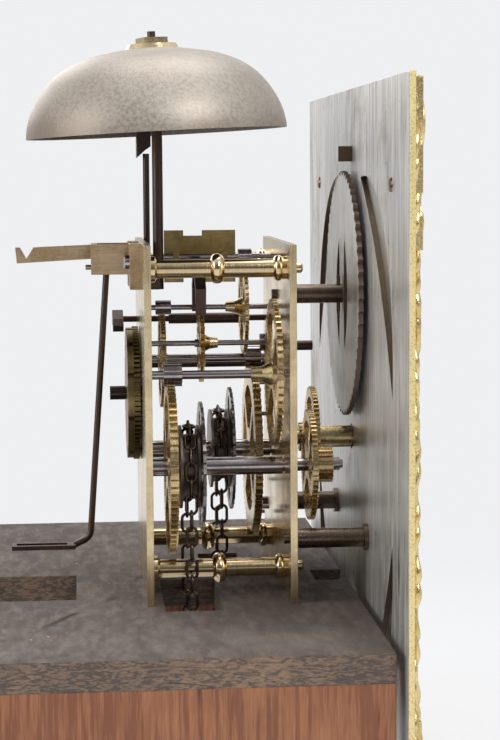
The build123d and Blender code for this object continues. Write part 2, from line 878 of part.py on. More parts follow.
# Locking detent that rests over the count wheel's rim
blade = polar(count, count_r + 0.7, 62.0)
lever_end = (detent[0] - 15.0, detent[1] - 13.0)
with BuildPart() as detent_piece:
    add(turned(detent, [
        (-28.0, back_inner + shake, detent_r),
        (back_inner + shake, 0.0, detent_r),
        (0.0, 37.0, detent_r + 1.1),
        (37.0, front_inner - shake, detent_r),
        (front_inner - shake, front_x + 3.0, detent_r),
        (front_x + 3.0, front_x + 7.0, 3.4),
    ]))
    with BuildSketch(Plane.YZ.offset(-28.0)):
        with BuildLine():
            Polyline(
                (detent[0] + 3.2, detent[1] - 3.0),
                (detent[0] + 3.2, detent[1] + 3.2),
                (detent[0] - 6.0, detent[1] + 5.0),
                (blade[0] + 3.0, blade[1] + 6.0),
                (blade[0] - 1.2, blade[1] + 3.0),
                blade,
                (blade[0] + 5.0, blade[1] + 2.0),
                (detent[0] - 5.0, detent[1] - 1.5),
                close=True,
            )
        make_face()
    extrude(amount=5.2)
    with BuildSketch(Plane.YZ.offset(front_x + 4.0)):
        with BuildLine():
            Polyline(
                (detent[0] + 1.0, detent[1] + 2.6),
                (lever_end[0] - 1.0, lever_end[1] + 1.8),
                (lever_end[0] + 1.0, lever_end[1] - 1.6),
                (detent[0] + 2.6, detent[1] - 1.0),
                close=True,
            )
        make_face()
    extrude(amount=2.4)
    with BuildSketch(Plane.YZ.offset(front_x + 4.0)):
        with Locations(lever_end):
            Circle(2.4)
    extrude(amount=14.0)
keep(detent_piece.part, "detent")

# Motion work: minute wheel and pinion of report on the going arbor, cannon and hour wheel
minute_x = front_x + 8.0
report_x = front_x + 12.5
hour_x = front_x + 12.8
pipe_r = 5.2
cannon_r = 3.4
keep(
    toothed(minute_x, 2.5, going, minute_wheel_teeth, motion_module,
            direction(going, centre), great_journal, rim=4.0, hub=7.0, spoke=4.0),
    "minute_wheel",
)
keep(
    toothed(report_x, 7.0, going, report_teeth, motion_module,
            direction(going, centre), great_journal),
    "report_pinion",
)
cannon_end = dial_front + 9.0
with BuildPart() as cannon:
    add(toothed(minute_x - 0.5, 3.5, centre, cannon_teeth, motion_module,
                mesh_phase(going, centre, cannon_teeth), stud_r + running))
    with BuildSketch(Plane.YZ.offset(minute_x - 4.0)):
        with Locations(centre):
            Circle(cannon_r)
            Circle(stud_r + running, mode=Mode.SUBTRACT)
    extrude(amount=cannon_end - minute_x + 4.0)
keep(cannon.part, "cannon_pinion")
pipe_end = dial_front + 5.5
with BuildPart() as hour_wheel:
    add(toothed(hour_x, 2.5, centre, hour_teeth, motion_module,
                mesh_phase(going, centre, hour_teeth), cannon_r + running, rim=3.5, hub=8.0, spoke=3.4))
    with BuildSketch(Plane.YZ.offset(hour_x)):
        with Locations(centre):
            Circle(pipe_r)
            Circle(cannon_r + running, mode=Mode.SUBTRACT)
    extrude(amount=pipe_end - hour_x)
keep(hour_wheel.part, "hour_wheel")
keep(
    turned(centre, [
        (front_inner, front_x, stud_r),
        (front_x, minute_x - 4.0 - shake, 4.5),
        (minute_x - 4.0 - shake, front_reach - 4.0, stud_r),
        (front_reach - 4.0, front_reach, 3.0),
    ]),
    "centre_stud",
)


def hand(x, thick, hub, bore, reach, width, angle):
    """Hand with a pierced loop, laid along an angle from the centre."""
    with BuildPart() as piece:
        with BuildSketch(Plane.YZ.offset(x)):
            with Locations(centre):
                Circle(hub)
            with BuildLine():
                tip = polar(centre, reach, angle)
                loop = polar(centre, reach * 0.52, angle)
                side = math.radians(angle + 90)
                across = (math.cos(side) * width, math.sin(side) * width)
                Polyline(
                    (centre[0] + across[0] / 2, centre[1] + across[1] / 2),
                    (loop[0] + across[0] / 2, loop[1] + across[1] / 2),
                    tip,
                    (loop[0] - across[0] / 2, loop[1] - across[1] / 2),
                    (centre[0] - across[0] / 2, centre[1] - across[1] / 2),
                    close=True,
                )
            make_face()
            with Locations(loop):
                Circle(width * 1.5)
                Circle(width * 0.9, mode=Mode.SUBTRACT)
            with Locations(centre):
                Circle(bore, mode=Mode.SUBTRACT)
        extrude(amount=thick)
    return piece.part


keep(hand(pipe_end - 1.2, 1.2, 9.0, pipe_r, 92.0, 6.0, 144.0), "hour_hand")
keep(hand(cannon_end - 1.2, 1.2, 7.0, cannon_r, 130.0, 4.0, 30.0), "minute_hand")

# Dial plate, cut away behind the chapter ring, on three feet
window_in = 118.0
window_out = 142.0
window_span = 62.0
aperture = (0.0, centre[1] + 34.0)
calendar_teeth = 62
calendar_r = 58.0
post_long = 6.5
with BuildPart() as dial_plate:
    with BuildSketch(Plane.YZ.offset(dial_x)):
        with Locations(centre):
            Rectangle(dial_size, dial_size)
            Circle(pipe_r + 0.8, mode=Mode.SUBTRACT)
        with Locations(aperture):
            Rectangle(12.0, 9.0, mode=Mode.SUBTRACT)
        for middle in (45, 135, 225, 315):
            with BuildLine():
                half = window_span / 2
                inner_arc = ThreePointArc(
                    polar(centre, window_in + 9, middle - half),
                    polar(centre, window_in, middle),
                    polar(centre, window_in + 9, middle + half),
                )
                ThreePointArc(inner_arc @ 1, polar(centre, window_out, middle), inner_arc @ 0)
            make_face(mode=Mode.SUBTRACT)
    extrude(amount=dial_thick)
keep(dial_plate.part, "dial_plate")
with BuildPart() as dial_post:
    with BuildSketch(Plane.YZ.offset(dial_x - post_long)):
        with Locations((0, upper_foot[1] + calendar_r + 8.0)):
            Rectangle(5.2, 7.2)
    extrude(amount=post_long)
keep(dial_post.part, "dial_post")
ring_out = 151.0
ring_in = 112.0
ring_thick = 1.6
with BuildPart() as chapter_ring:
    with BuildSketch(Plane.YZ.offset(dial_front)):
        with Locations(centre):
            Circle(ring_out)
            Circle(ring_in, mode=Mode.SUBTRACT)
    extrude(amount=ring_thick)
keep(chapter_ring.part, "chapter_ring")
corner = dial_size / 2 - 2.0
with BuildPart() as spandrels:
    for side_y in (-1, 1):
        for side_z in (-1, 1):
            with BuildSketch(Plane.YZ.offset(dial_front)):
                with Locations((centre[0] + side_y * (corner - 34.0), centre[1] + side_z * (corner - 34.0))):
                    Rectangle(68.0, 68.0)
                with Locations(centre):
                    Circle(ring_out + 2.5, mode=Mode.SUBTRACT)
                with Locations(*[
                    (centre[0] + side_y * (corner - along), centre[1] + side_z * (corner - across))
                    for along, across in ((0, 22), (22, 0), (0, 50), (50, 0))
                ]):
                    Circle(4.5, mode=Mode.SUBTRACT)
            extrude(amount=3.2)
            with BuildSketch(Plane.YZ.offset(dial_front + 3.2)):
                with Locations((centre[0] + side_y * (corner - 18.0), centre[1] + side_z * (corner - 18.0))):
                    Circle(12.0)
            extrude(amount=2.0, taper=20)
keep(spandrels.part, "spandrels")


def dial_foot(place):
    """Turned foot riveted to the dial, with its pin end in the front plate."""
    return turned(place, [
        (front_inner - 2.0, front_x, tenon_r),
        (front_x, dial_x - 2.0, foot_r),
        (dial_x - 2.0, dial_x, foot_r + 1.6),
    ])


calendar_x = dial_x - 4.6
with BuildPart() as dial_foot_upper:
    add(dial_foot(upper_foot))
    with BuildSketch(Plane.XY.offset(upper_foot[1] - 8.5)):
        with Locations((calendar_x - 1.6, upper_foot[0])):
            Circle(0.9)
    extrude(amount=17.0)
keep(dial_foot_upper.part, "dial_foot_upper")
keep(dial_foot(lower_feet[0]), "dial_foot_near")
keep(dial_foot(lower_feet[1]), "dial_foot_far")

# Calendar wheel that turns on the upper dial foot
with BuildPart() as calendar_wheel:
    with BuildSketch(Plane.YZ.offset(calendar_x)):
        with BuildLine():
            points = []
            for tooth in range(calendar_teeth):
                points.append(polar(upper_foot, calendar_r - 2.6, tooth * 360 / calendar_teeth))
                points.append(polar(upper_foot, calendar_r, (tooth + 0.8) * 360 / calendar_teeth))
            Polyline(*points, close=True)
        make_face()
        for side in (-1, 1):
            with BuildLine():
                high = (upper_foot[0] + side * 9.0, upper_foot[1] + 26.0)
                low = (upper_foot[0] + side * 9.0, upper_foot[1] - 26.0)
                inner_edge = ThreePointArc(high, (upper_foot[0] + side * 7.0, upper_foot[1]), low)
                ThreePointArc(low, (upper_foot[0] + side * 19.0, upper_foot[1]), high)
            make_face(mode=Mode.SUBTRACT)
        with Locations(upper_foot):
            Circle(foot_r + running, mode=Mode.SUBTRACT)
    extrude(amount=2.2)
keep(calendar_wheel.part, "calendar_wheel")

keep(chain(going_chain_x, going), "going_chain")
keep(chain(strike_chain_x, strike), "strike_chain")
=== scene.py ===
import math

import bmesh
import bpy
from bpy.props import FloatProperty, FloatVectorProperty, IntProperty, PointerProperty
from mathutils import Matrix, Vector


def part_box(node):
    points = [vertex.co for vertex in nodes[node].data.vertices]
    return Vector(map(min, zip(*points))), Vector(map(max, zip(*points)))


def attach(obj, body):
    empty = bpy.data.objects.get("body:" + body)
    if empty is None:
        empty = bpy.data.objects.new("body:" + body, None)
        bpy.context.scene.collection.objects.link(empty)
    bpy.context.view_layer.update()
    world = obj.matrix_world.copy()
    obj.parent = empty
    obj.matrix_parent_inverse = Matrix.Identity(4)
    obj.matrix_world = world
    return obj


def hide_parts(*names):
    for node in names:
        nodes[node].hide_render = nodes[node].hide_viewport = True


bl_info = {
    "name": "Longcase clock movement",
    "version": (1, 0, 0),
    "blender": (4, 5, 0),
    "location": "View3D > Sidebar > Clock",
    "description": "Looks for a chain-driven longcase movement with its bell, dial and seat board",
    "category": "Object",
}

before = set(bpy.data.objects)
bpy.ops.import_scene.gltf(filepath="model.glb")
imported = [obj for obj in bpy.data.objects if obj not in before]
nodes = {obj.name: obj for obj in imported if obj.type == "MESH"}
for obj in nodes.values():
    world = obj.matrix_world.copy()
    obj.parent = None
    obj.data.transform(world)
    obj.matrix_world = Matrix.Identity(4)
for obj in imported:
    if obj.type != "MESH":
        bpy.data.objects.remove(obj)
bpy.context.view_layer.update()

MM = 0.001

# Camera place in metres, its turns in radians, and its lens from a focal length in pixels
CAMERA_PLACE = (-0.04516, -0.93107, 0.30008)
CAMERA_YAW, CAMERA_PITCH, CAMERA_ROLL = 0.0873, -0.0989, -0.0063
FOCAL_PIXELS, PICTURE_HEIGHT, SENSOR_WIDTH = 1972.9, 740, 36.0

LAMP_TARGET = (0.0, 0.0, 0.2)
LAMPS = (
    # name, place in metres, width in metres, power in watts
    ("key", (0.75, -1.15, 1.25), 0.9, 17.0),
    ("side", (-1.5, -0.55, 0.75), 1.1, 12.0),
    ("top", (0.1, 0.3, 1.6), 1.2, 10.0),
    ("back", (-0.6, 1.4, 0.9), 0.9, 7.0),
)
FLOOR_HALF = 6.0
FLOOR_SHADOW_NEAR, FLOOR_SHADOW_FAR = 0.3, 0.75

LINKS_PER_TURN = 16
LINK_CORNERS, WIRE_SIDES = 16, 7

NUMERALS = ("XII", "I", "II", "III", "IIII", "V", "VI", "VII", "VIII", "IX", "X", "XI")
LETTER_WIDTHS = {"I": 4.4 * MM, "V": 9.2 * MM, "X": 9.6 * MM}
NUMERAL_FOOT = 120.0 * MM
THICK_STROKE, THIN_STROKE, FINE_LINE = 2.1 * MM, 0.8 * MM, 0.5 * MM
MINUTE_TRACK = (145.5 * MM, 149.0 * MM)
QUARTER_TRACK = (113.4 * MM, 116.6 * MM)
RING_CIRCLES = (113.2 * MM, 116.8 * MM, 145.3 * MM, 149.2 * MM)
CIRCLE_STEPS = 180

SCROLLS = (
    # turns, middle in from the corner in mm (sideways, up or down), size in mm, way round
    (1.6, (20.0, 44.0), 9.0, 1),
    (1.6, (44.0, 20.0), 9.0, -1),
    (1.4, (11.0, 58.0), 6.0, -1),
    (1.4, (58.0, 11.0), 6.0, 1),
    (1.8, (20.0, 20.0), 12.0, 1),
    (1.2, (33.0, 33.0), 5.0, -1),
)
SCROLL_POINTS = 18
BORDER_WAVES, BORDER_STEPS = 20, 8
SCREW_OFFSET = 120.5 * MM
SCREW_LOBES = 12
SCREW_RINGS = (
    # share of the full radius, depth from the back of the plate in mm
    (1.0, 0.1),
    (0.9, -0.7),
    (0.5, -1.1),
)


def colour_value(name, description, default):
    """Property for a linear colour."""
    return FloatVectorProperty(
        name=name, description=description, subtype="COLOR", size=3, min=0.0, max=1.0, default=default
    )


class ClockColours(bpy.types.PropertyGroup):
    """Colours of the clock, as linear values."""

    brass: colour_value("Brass", "Clean polished brass of plates and pillars", (0.84, 0.68, 0.42))
    brass_tarnish: colour_value("Brass tarnish", "Brown bloom in corners of the brass", (0.36, 0.245, 0.12))
    cock: colour_value("Cock brass", "Satin rosy brass of the back cock", (0.60, 0.45, 0.29))
    wheel: colour_value("Wheel brass", "Brushed brass of the wheels", (0.76, 0.60, 0.34))
    aged: colour_value("Aged brass", "Olive brown brass of the fly and count wheel", (0.40, 0.30, 0.13))
    steel: colour_value("Steel", "Polished arbors", (0.50, 0.455, 0.46))
    iron: colour_value("Iron", "Dark hammer, crutch and bell stand", (0.075, 0.058, 0.052))
    rust: colour_value("Iron brown", "Brown patches on the iron", (0.11, 0.064, 0.042))
    bell_light: colour_value("Bell light", "Rubbed skin of the cast bell", (0.45, 0.41, 0.36))
    # The dark bell colour is the brown skin in the pits and also paints the shade on the bell's left side.
    bell_brown_and_shade: colour_value("Bell dark", "Brown skin in the pits of the bell", (0.27, 0.22, 0.175))
    dial_back: colour_value("Dial back", "Scraped grey back of the dial", (0.66, 0.645, 0.615))
    dial_stain: colour_value("Dial stain", "Brown stains on the back of the dial", (0.21, 0.17, 0.135))
    gilt: colour_value("Gilt", "Gilding of spandrels and dial edges", (0.90, 0.73, 0.36))
    silver: colour_value("Silvering", "Silvered chapter ring", (0.74, 0.73, 0.69))
    ink: colour_value("Wax", "Black wax in the engraving", (0.015, 0.013, 0.012))
    blued: colour_value("Blued steel", "Hands", (0.035, 0.045, 0.085))
    board_light: colour_value("Board light", "Dusty grey wear on the seat board", (0.150, 0.122, 0.104))
    board_dark: colour_value("Board dark", "Dark old wood of the seat board", (0.088, 0.068, 0.057))
    end_grain: colour_value("End grain", "Rough brown end of the seat board", (0.31, 0.20, 0.13))
    cheek_light: colour_value("Cheek light", "Reddish pine between the rings", (0.38, 0.165, 0.08))
    cheek_dark: colour_value("Cheek dark", "Dark grain lines of the pine", (0.21, 0.08, 0.04))
    paper: colour_value("Backdrop", "Pale studio background", (0.86, 0.865, 0.88))


class ClockSizes(bpy.types.PropertyGroup):
    """Sizes of the added pieces."""

    link_wire: FloatProperty(
        name="Link wire", description="Radius of the wire of a chain link", default=0.72 * MM, unit="LENGTH"
    )
    link_pitch: FloatProperty(
        name="Link pitch", description="From one link's middle to the next", default=7.4 * MM, unit="LENGTH"
    )
    link_width: FloatProperty(
        name="Link width", description="Width over a chain link", default=6.2 * MM, unit="LENGTH"
    )
    strand_links: IntProperty(
        name="Strand links", description="Links in each hanging strand", default=15, min=1
    )
    numeral_height: FloatProperty(
        name="Numeral height", description="Height of the hour numerals", default=21.0 * MM, unit="LENGTH"
    )
    edge_round: FloatProperty(
        name="Edge rounding", description="Softening of worn edges", default=0.35 * MM, unit="LENGTH"
    )


def colours():
    """Colour properties of the scene."""
    return bpy.context.scene.clock_colours


def sizes():
    """Size properties of the scene."""
    return bpy.context.scene.clock_sizes


class NodeSheet:
    """Node tree with a short way to add and join nodes."""

    def __init__(self, tree):
        self.tree = tree

    def add(self, kind, inputs=None, **settings):
        node = self.tree.nodes.new(kind)
        for key, value in settings.items():
            setattr(node, key, value)
        for key, value in (inputs or {}).items():
            self.feed(node.inputs[key], value)
        return node

    def feed(self, socket, value):
        if isinstance(value, bpy.types.NodeSocket):
            self.tree.links.new(value, socket)
        elif socket.type == "RGBA" and len(value) == 3:
            socket.default_value = (*value, 1.0)
        else:
            socket.default_value = value

    def math(self, operation, first, second=0.0, third=0.0, clamp=False):
        values = {0: first, 1: second, 2: third}
        return self.add("ShaderNodeMath", values, operation=operation, use_clamp=clamp).outputs[0]

    def split(self, vector):
        """The x, y and z of a vector."""
        return self.add("ShaderNodeSeparateXYZ", {0: vector}).outputs

    def scaled(self, colour, factor):
        """Colour made lighter or darker by a factor."""
        node = self.add("ShaderNodeVectorMath", {0: colour}, operation="SCALE")
        self.feed(node.inputs["Scale"], factor)
        return node.outputs[0]

    def facing(self, normal="True Normal"):
        """The x, y and z of the surface normal."""
        return self.split(self.add("ShaderNodeNewGeometry").outputs[normal])

    def mix(self, factor, first, second):
        node = self.add("ShaderNodeMix", data_type="RGBA", clamp_factor=True)
        self.feed(node.inputs[0], factor)
        self.feed(node.inputs[6], first)
        self.feed(node.inputs[7], second)
        return node.outputs[2]

    def band(self, value, low, high, out_low=0.0, out_high=1.0):
        """Soft step of a value from one range to another."""
        node = self.add(
            "ShaderNodeMapRange",
            {"Value": value, "From Min": low, "From Max": high, "To Min": out_low, "To Max": out_high},
            interpolation_type="SMOOTHSTEP",
        )
        return node.outputs[0]

    def place(self, stretch=(1.0, 1.0, 1.0)):
        """Place on the object in metres, stretched along each axis."""
        spot = self.add("ShaderNodeTexCoord").outputs["Object"]
        return self.add("ShaderNodeVectorMath", {0: spot, 1: stretch}, operation="MULTIPLY").outputs[0]

    def noise(self, vector, scale, detail=4.0, roughness=0.55):
        node = self.add(
            "ShaderNodeTexNoise",
            {"Vector": vector, "Scale": scale, "Detail": detail, "Roughness": roughness},
        )
        return node.outputs[0]

    def group(self, name, values):
        node = self.add("ShaderNodeGroup", node_tree=bpy.data.node_groups[name])
        for key, value in values.items():
            self.feed(node.inputs[key], value)
        return node.outputs


def new_effect(name, inputs, outputs):
    """Empty shader node group with named sockets."""
    tree = bpy.data.node_groups.new(name, "ShaderNodeTree")
    for label, kind, default in inputs:
        socket = tree.interface.new_socket(name=label, in_out="INPUT", socket_type=f"NodeSocket{kind}")
        socket.default_value = default
    for label, kind in outputs:
        tree.interface.new_socket(name=label, in_out="OUTPUT", socket_type=f"NodeSocket{kind}")
    sheet = NodeSheet(tree)
    source = sheet.add("NodeGroupInput").outputs
    target = sheet.add("NodeGroupOutput").inputs
    return sheet, source, target


def build_metal_skin():
    """Tarnish in patches and corners, with fine scratches along one way."""
    sheet, source, target = new_effect(
        "Metal skin",
        [
            ("Colour", "Color", (0.8, 0.6, 0.3, 1.0)),
            ("Tarnish", "Color", (0.2, 0.1, 0.05, 1.0)),
            ("Tarnish amount", "Float", 0.4),
            ("Patch scale", "Float", 60.0),
            ("Scratch stretch", "Vector", (1.0, 1.0, 1.0)),
            ("Scratch scale", "Float", 900.0),
            ("Smooth", "Float", 0.18),
            ("Dull", "Float", 0.42),
        ],
        [("Colour", "Color"), ("Roughness", "Float"), ("Height", "Float")],
    )
    spot = sheet.place()
    broad = sheet.noise(spot, source["Patch scale"], 5.0, 0.6)
    fine = sheet.noise(spot, sheet.math("MULTIPLY", source["Patch scale"], 9.0), 3.0, 0.6)
    patch = sheet.band(sheet.math("ADD", sheet.math("MULTIPLY", fine, 0.35), broad), 0.52, 0.88)
    drawn = sheet.add("ShaderNodeVectorMath", {0: spot, 1: source["Scratch stretch"]}, operation="MULTIPLY")
    scratch = sheet.noise(drawn.outputs[0], source["Scratch scale"], 3.0, 0.7)
    corner = sheet.band(sheet.add("ShaderNodeNewGeometry").outputs["Pointiness"], 0.505, 0.44)
    dirt = sheet.math("MULTIPLY", corner, 0.4)
    cover = sheet.math("MULTIPLY", patch, source["Tarnish amount"])
    cover = sheet.math("MAXIMUM", cover, dirt, clamp=True)
    tone = sheet.mix(cover, source["Colour"], source["Tarnish"])
    streak = sheet.band(scratch, 0.3, 0.75, 0.86, 1.08)
    sheet.feed(target["Colour"], sheet.scaled(tone, streak))
    span = sheet.math("SUBTRACT", source["Dull"], source["Smooth"])
    rubbed = sheet.band(scratch, 0.35, 0.8, 0.0, 0.45)
    rub = sheet.math("ADD", sheet.math("MULTIPLY", cover, 0.7), rubbed, clamp=True)
    sheet.feed(target["Roughness"], sheet.math("MULTIPLY_ADD", rub, span, source["Smooth"]))
    sheet.feed(target["Height"], scratch)


def build_turned_rings():
    """Fine circles round an axis along X through a centre, as a lathe or a file leaves them."""
    sheet, source, target = new_effect(
        "Turned rings",
        [("Centre", "Vector", (0.0, 0.0, 0.0)), ("Rings", "Float", 1500.0), ("Spin", "Float", 3.0)],
        [("Mask", "Float")],
    )
    spot = sheet.add("ShaderNodeTexCoord").outputs["Object"]
    away = sheet.add("ShaderNodeVectorMath", {0: spot, 1: source["Centre"]}, operation="SUBTRACT").outputs[0]
    parts = sheet.split(away)
    flat = sheet.add("ShaderNodeCombineXYZ", {1: parts[1], 2: parts[2]}).outputs[0]
    radius = sheet.add("ShaderNodeVectorMath", {0: flat}, operation="LENGTH").outputs["Value"]
    angle = sheet.math("ARCTAN2", parts[2], parts[1])
    outwards = sheet.math("MULTIPLY", radius, source["Rings"])
    around = sheet.math("MULTIPLY", angle, source["Spin"])
    lookup = sheet.add("ShaderNodeCombineXYZ", {0: outwards, 1: around}).outputs[0]
    sheet.feed(target["Mask"], sheet.noise(lookup, 1.0, 3.0, 0.6))


def build_old_wood():
    """Grain drawn out along one axis, with darker rings, pores and splits."""
    sheet, source, target = new_effect(
        "Old wood",
        [
            ("Light", "Color", (0.3, 0.2, 0.1, 1.0)),
            ("Dark", "Color", (0.1, 0.06, 0.03, 1.0)),
            ("Grain stretch", "Vector", (1.0, 0.06, 1.0)),
            ("Ring scale", "Float", 55.0),
            ("Pore scale", "Float", 900.0),
            ("Splits", "Float", 0.5),
        ],
        [("Colour", "Color"), ("Roughness", "Float"), ("Height", "Float")],
    )
    spot = sheet.place()
    drawn = sheet.add("ShaderNodeVectorMath", {0: spot, 1: source["Grain stretch"]}, operation="MULTIPLY")
    drawn = drawn.outputs[0]
    ring = sheet.noise(drawn, source["Ring scale"], 5.0, 0.6)
    pore = sheet.noise(drawn, source["Pore scale"], 3.0, 0.7)
    cloud = sheet.noise(spot, 14.0, 4.0, 0.6)
    line = sheet.math("PINGPONG", sheet.math("MULTIPLY", ring, 9.0), 0.5)
    dark = sheet.math("ADD", sheet.band(line, 0.0, 0.42, 0.6, 0.0), sheet.band(pore, 0.4, 0.7, 0.45, 0.0))
    dark = sheet.math("ADD", dark, sheet.band(cloud, 0.35, 0.7, 0.35, -0.1), clamp=True)
    crack = sheet.noise(drawn, sheet.math("MULTIPLY", source["Ring scale"], 0.55), 2.0, 0.4)
    gap = sheet.math("ABSOLUTE", sheet.math("SUBTRACT", crack, 0.5))
    split = sheet.math("MULTIPLY", sheet.band(gap, 0.012, 0.0), source["Splits"])
    split = sheet.math("MULTIPLY", split, sheet.band(sheet.noise(spot, 22.0, 1.0), 0.5, 0.62), clamp=True)
    tone = sheet.mix(dark, source["Light"], source["Dark"])
    tone = sheet.mix(split, tone, (0.008, 0.006, 0.005))
    sheet.feed(target["Colour"], tone)
    sheet.feed(target["Roughness"], sheet.band(pore, 0.3, 0.7, 0.92, 0.68))
    high = sheet.math("ADD", sheet.math("MULTIPLY", line, 0.6), pore)
    sheet.feed(target["Height"], sheet.math("SUBTRACT", high, sheet.math("MULTIPLY", split, 3.0)))


def finish_sheet(name):
    """Empty material with its Principled shader."""
    material = bpy.data.materials.new(name)
    material.use_nodes = True
    sheet = NodeSheet(material.node_tree)
    shader = material.node_tree.nodes["Principled BSDF"]
    return material, sheet, shader


def raise_surface(sheet, shader, height, distance, strength=1.0, rounding=None):
    """Bump on the shader's normal, over softly rounded edges where asked."""
    bump = sheet.add("ShaderNodeBump", {"Strength": strength, "Distance": distance, "Height": height})
    if rounding:
        soft = sheet.add("ShaderNodeBevel", {"Radius": rounding}, samples=4)
        sheet.feed(bump.inputs["Normal"], soft.outputs[0])
    sheet.feed(shader.inputs["Normal"], bump.outputs[0])


def metal(name, base, tarnish, amount=0.4, patch=60.0, stretch=(1.0, 1.0, 1.0), scratch=900.0,
          smooth=0.18, dull=0.42, bump=0.02, rounding=None):
    """Worn metal with tarnish and scratches."""
    material, sheet, shader = finish_sheet(name)
    skin = sheet.group("Metal skin", {
        "Colour": base, "Tarnish": tarnish, "Tarnish amount": amount, "Patch scale": patch,
        "Scratch stretch": stretch, "Scratch scale": scratch, "Smooth": smooth, "Dull": dull,
    })
    sheet.feed(shader.inputs["Base Color"], skin["Colour"])
    sheet.feed(shader.inputs["Roughness"], skin["Roughness"])
    shader.inputs["Metallic"].default_value = 1.0
    raise_surface(sheet, shader, skin["Height"], bump * MM, 0.6, rounding)
    return material


def turned_metal(name, base, tarnish, centre, amount=0.4, smooth=0.2, dull=0.45, rings=1500.0):
    """Wheel or disc metal with circular marks round its own arbor."""
    material, sheet, shader = finish_sheet(name)
    rings_out = sheet.group("Turned rings", {"Centre": centre, "Rings": rings, "Spin": 2.5})
    skin = sheet.group("Metal skin", {
        "Colour": base, "Tarnish": tarnish, "Tarnish amount": amount, "Patch scale": 75.0,
        "Scratch scale": 700.0, "Smooth": smooth, "Dull": dull,
    })
    shade = sheet.band(rings_out["Mask"], 0.3, 0.7, 0.84, 1.08)
    sheet.feed(shader.inputs["Base Color"], sheet.scaled(skin["Colour"], shade))
    sheet.feed(shader.inputs["Roughness"], skin["Roughness"])
    shader.inputs["Metallic"].default_value = 1.0
    raise_surface(sheet, shader, rings_out["Mask"], 0.03 * MM, 0.7)
    return material


def dress(names, material):
    """Put a material into the slots of CAD nodes."""
    for name in names:
        slots = nodes[name].data.materials
        if len(slots):
            for index in range(len(slots)):
                slots[index] = material
        else:
            slots.append(material)


def middle(name):
    """Middle of a CAD node's box."""
    low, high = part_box(name)
    return (low + high) / 2


def new_piece(name, mesh_maker, material, body):
    """Mesh object made by a bmesh function, riding on a body."""
    mesh = bpy.data.meshes.new(name)
    shape = bmesh.new()
    mesh_maker(shape)
    bmesh.ops.recalc_face_normals(shape, faces=shape.faces[:])
    shape.to_mesh(mesh)
    shape.free()
    mesh.materials.append(material)
    piece = bpy.data.objects.new(name, mesh)
    bpy.context.scene.collection.objects.link(piece)
    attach(piece, body)
    return piece


def smooth_faces(piece):
    """Shade every face of a mesh piece as part of one smooth skin."""
    for face in piece.data.polygons:
        face.use_smooth = True


